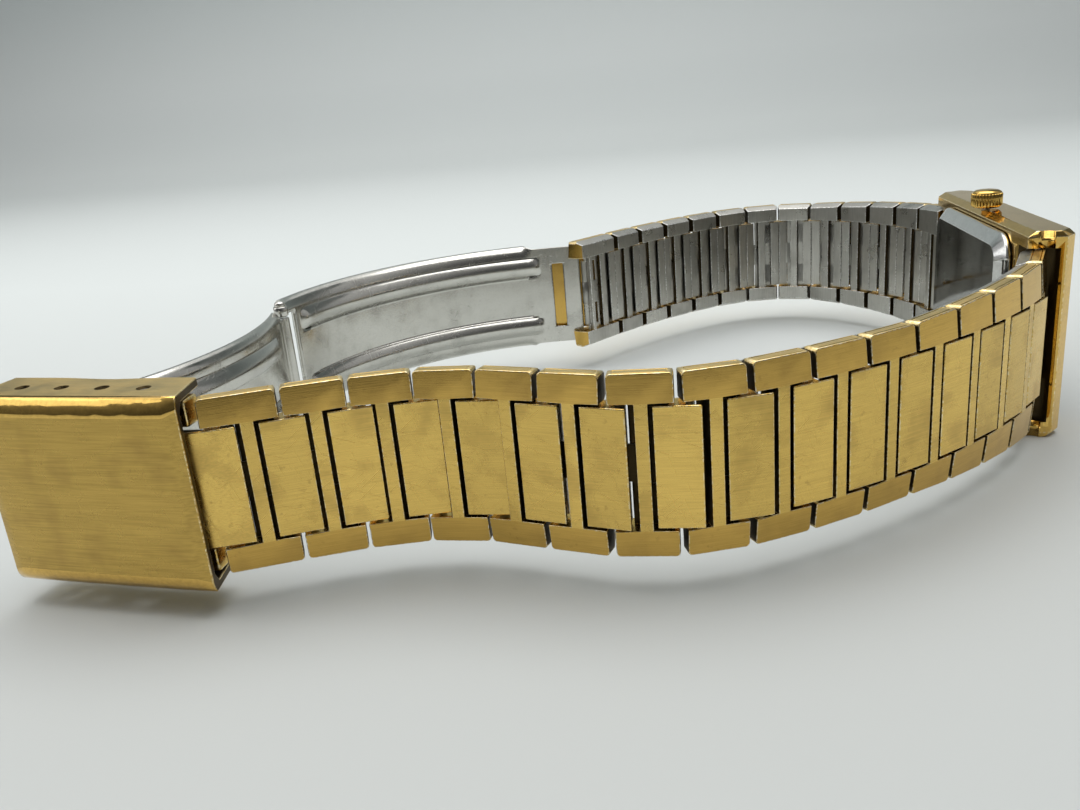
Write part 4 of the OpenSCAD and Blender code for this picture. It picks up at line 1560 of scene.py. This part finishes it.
@dataclass
class Studio:
    """The pale room: the floor and backdrop, the lamps and the camera."""

    eye: Point = (-32.0, -106.3, 35.74)
    focal_pixels: float = 940.0
    picture_width: float = 1080.0
    sensor: float = 36.0
    pitch: float = 18.43
    roll: float = -5.28
    yaw: float = 9.47
    viewer_side: float = 0.22
    world_strength: float = 0.55
    floor_level: float = -0.02
    floor_radius: float = 160.0
    floor_half: float = 900.0
    floor_from: float = -700.0
    floor_to: float = 420.0

    def camera(self) -> None:
        """Places the camera at the photograph's viewpoint."""
        data = bpy.data.cameras.new("camera")
        data.sensor_width = self.sensor
        data.sensor_fit = "HORIZONTAL"
        data.lens = self.focal_pixels / self.picture_width * self.sensor
        data.clip_start = 0.005
        data.clip_end = 10.0
        th, yaw, ro = (math.radians(a) for a in (self.pitch, self.yaw, self.roll))
        ahead = Vector((-math.sin(yaw) * math.cos(th), math.cos(yaw) * math.cos(th), -math.sin(th)))
        right = Vector((math.cos(yaw), math.sin(yaw), 0.0))
        up = right.cross(ahead)
        cam_x = right * math.cos(ro) + up * math.sin(ro)
        cam_y = up * math.cos(ro) - right * math.sin(ro)
        made = bpy.data.objects.new("camera", data)
        made.matrix_world = Matrix.Translation(Vector(self.eye) * MM) @ Matrix(
            (cam_x, cam_y, -ahead)).transposed().to_4x4()
        bpy.context.scene.collection.objects.link(made)
        bpy.context.scene.camera = made

    def sweep(self) -> None:
        """Builds the floor that curves up into the backdrop, with painted light in its colour."""
        # Painted light: near and mottled are a painted shadow on the floor towards the viewer, above is painted
        # shade higher up the backdrop, and lit is a painted glow along the backdrop's foot.
        near, mottled, far = (0.60, 0.625, 0.61), (0.63, 0.655, 0.64), (0.75, 0.79, 0.775)
        above, lit = (0.50, 0.555, 0.555), (0.74, 0.78, 0.77)
        finish = bpy.data.materials.new("studio_paper")
        graph = Graph(finish)
        _, deep, high = graph.split("Object")
        # Painted glow: a lighter band along the foot of the backdrop.
        glow = graph.math("MULTIPLY", graph.between(high, 0.0, 0.05), graph.between(high, 0.06, 0.22, 1.0, 0.0))
        paper_and_shade = graph.blend(graph.noise(0.004, detail=1.0), near, mottled)
        paper_and_shade = graph.blend(graph.between(deep, -0.05, 0.1), paper_and_shade, far)
        paper_and_shade = graph.blend(graph.between(high, 0.01, 0.12), paper_and_shade, above)
        graph.shade(Base_Color=graph.blend(glow, paper_and_shade, lit), Roughness=0.9)
        level, radius, back, steps = self.floor_level, self.floor_radius, self.floor_to, 12
        profile = [(self.floor_from, level), (back, level)]
        for i in range(1, steps + 1):
            angle = math.radians(90 * i / steps)
            profile.append((back + radius * math.sin(angle), radius * (1 - math.cos(angle)) + level))
        profile.append((back + radius, self.floor_half))
        form = Form()
        rows = [[form.bm.verts.new((x, y, z)) for y, z in profile] for x in (-self.floor_half, self.floor_half)]
        for i in range(len(profile) - 1):
            form.bm.faces.new((rows[0][i], rows[1][i], rows[1][i + 1], rows[0][i + 1]))
        made = form.shown("studio_floor", [finish])

    def lamp(self, name: str, at: Point, aim: Point, size: float, power: float) -> None:
        """Adds a soft area lamp.

        Args:
            name: Its name.
            at: Its place in millimetres.
            aim: The point that it faces.
            size: Its side in millimetres.
            power: Its power in watts.
        """
        data = bpy.data.lights.new(name, "AREA")
        data.shape = "SQUARE"
        data.size = size * MM
        data.energy = power
        made = bpy.data.objects.new(name, data)
        made.location = Vector(at) * MM
        made.rotation_euler = (Vector(aim) - Vector(at)).to_track_quat("-Z", "Y").to_euler()
        bpy.context.scene.collection.objects.link(made)

    def world(self) -> None:
        """Lights the room evenly: brighter from above, and darker from the side where the viewer stands."""
        world = bpy.data.worlds.new("studio")
        bpy.context.scene.world = world
        graph = Graph(world, "Background")
        _, deep, high = graph.split("Generated")
        tone = graph.blend(graph.between(high, 0.0, 0.9), (0.5, 0.51, 0.52), (1.0, 1.0, 1.0))
        lit = graph.between(deep, -0.75, 0.1, self.viewer_side, 1.0)
        graph.shade(Color=tone, Strength=graph.math("MULTIPLY", lit, self.world_strength))

    def build(self) -> None:
        """Sets the whole room."""
        self.camera()
        self.sweep()
        self.world()
        self.lamp("softbox_top", (-20.0, 20.0, 430.0), (-30.0, 0.0, 0.0), 430.0, 1.15)
        self.lamp("softbox_back", (-190.0, 260.0, 420.0), (-190.0, 300.0, 0.0), 700.0, 1.0)
        self.lamp("softbox_left", (-420.0, -60.0, 220.0), (-30.0, 0.0, 0.0), 300.0, 0.3)


def dress_nodes() -> None:
    """Gives every CAD node that stays in view the finish of its slot."""
    finishes = Piece.finishes
    gold = finishes["polished_gold"]
    by_slot = {**finishes, "case_gold": gold, "crown_gold": gold, "pin_steel": finishes["link_steel"]}
    subparts = {part["node"]: part["material_slot"] for part in frame["record"]["subparts"]}
    for name, node in frame["nodes"].items():
        if node.hide_render:
            continue
        node.data.materials.clear()
        node.data.materials.append(by_slot[subparts[name]])


def main() -> None:
    """Builds the room and the watch in order."""
    logging.basicConfig(level=logging.INFO, format="%(name)s: %(message)s")
    bpy.context.scene.view_settings.view_transform = "Standard"
    Studio().build()
    Piece.finishes.update((finish.name, finish.material()) for finish in (*METALS, *INNER))
    layout = Layout()
    Bracelet(layout).build()
    Clasp(layout).build()
    Case().build()
    dress_nodes()
    bpy.context.view_layer.update()


if __name__ == "__main__":
    main()
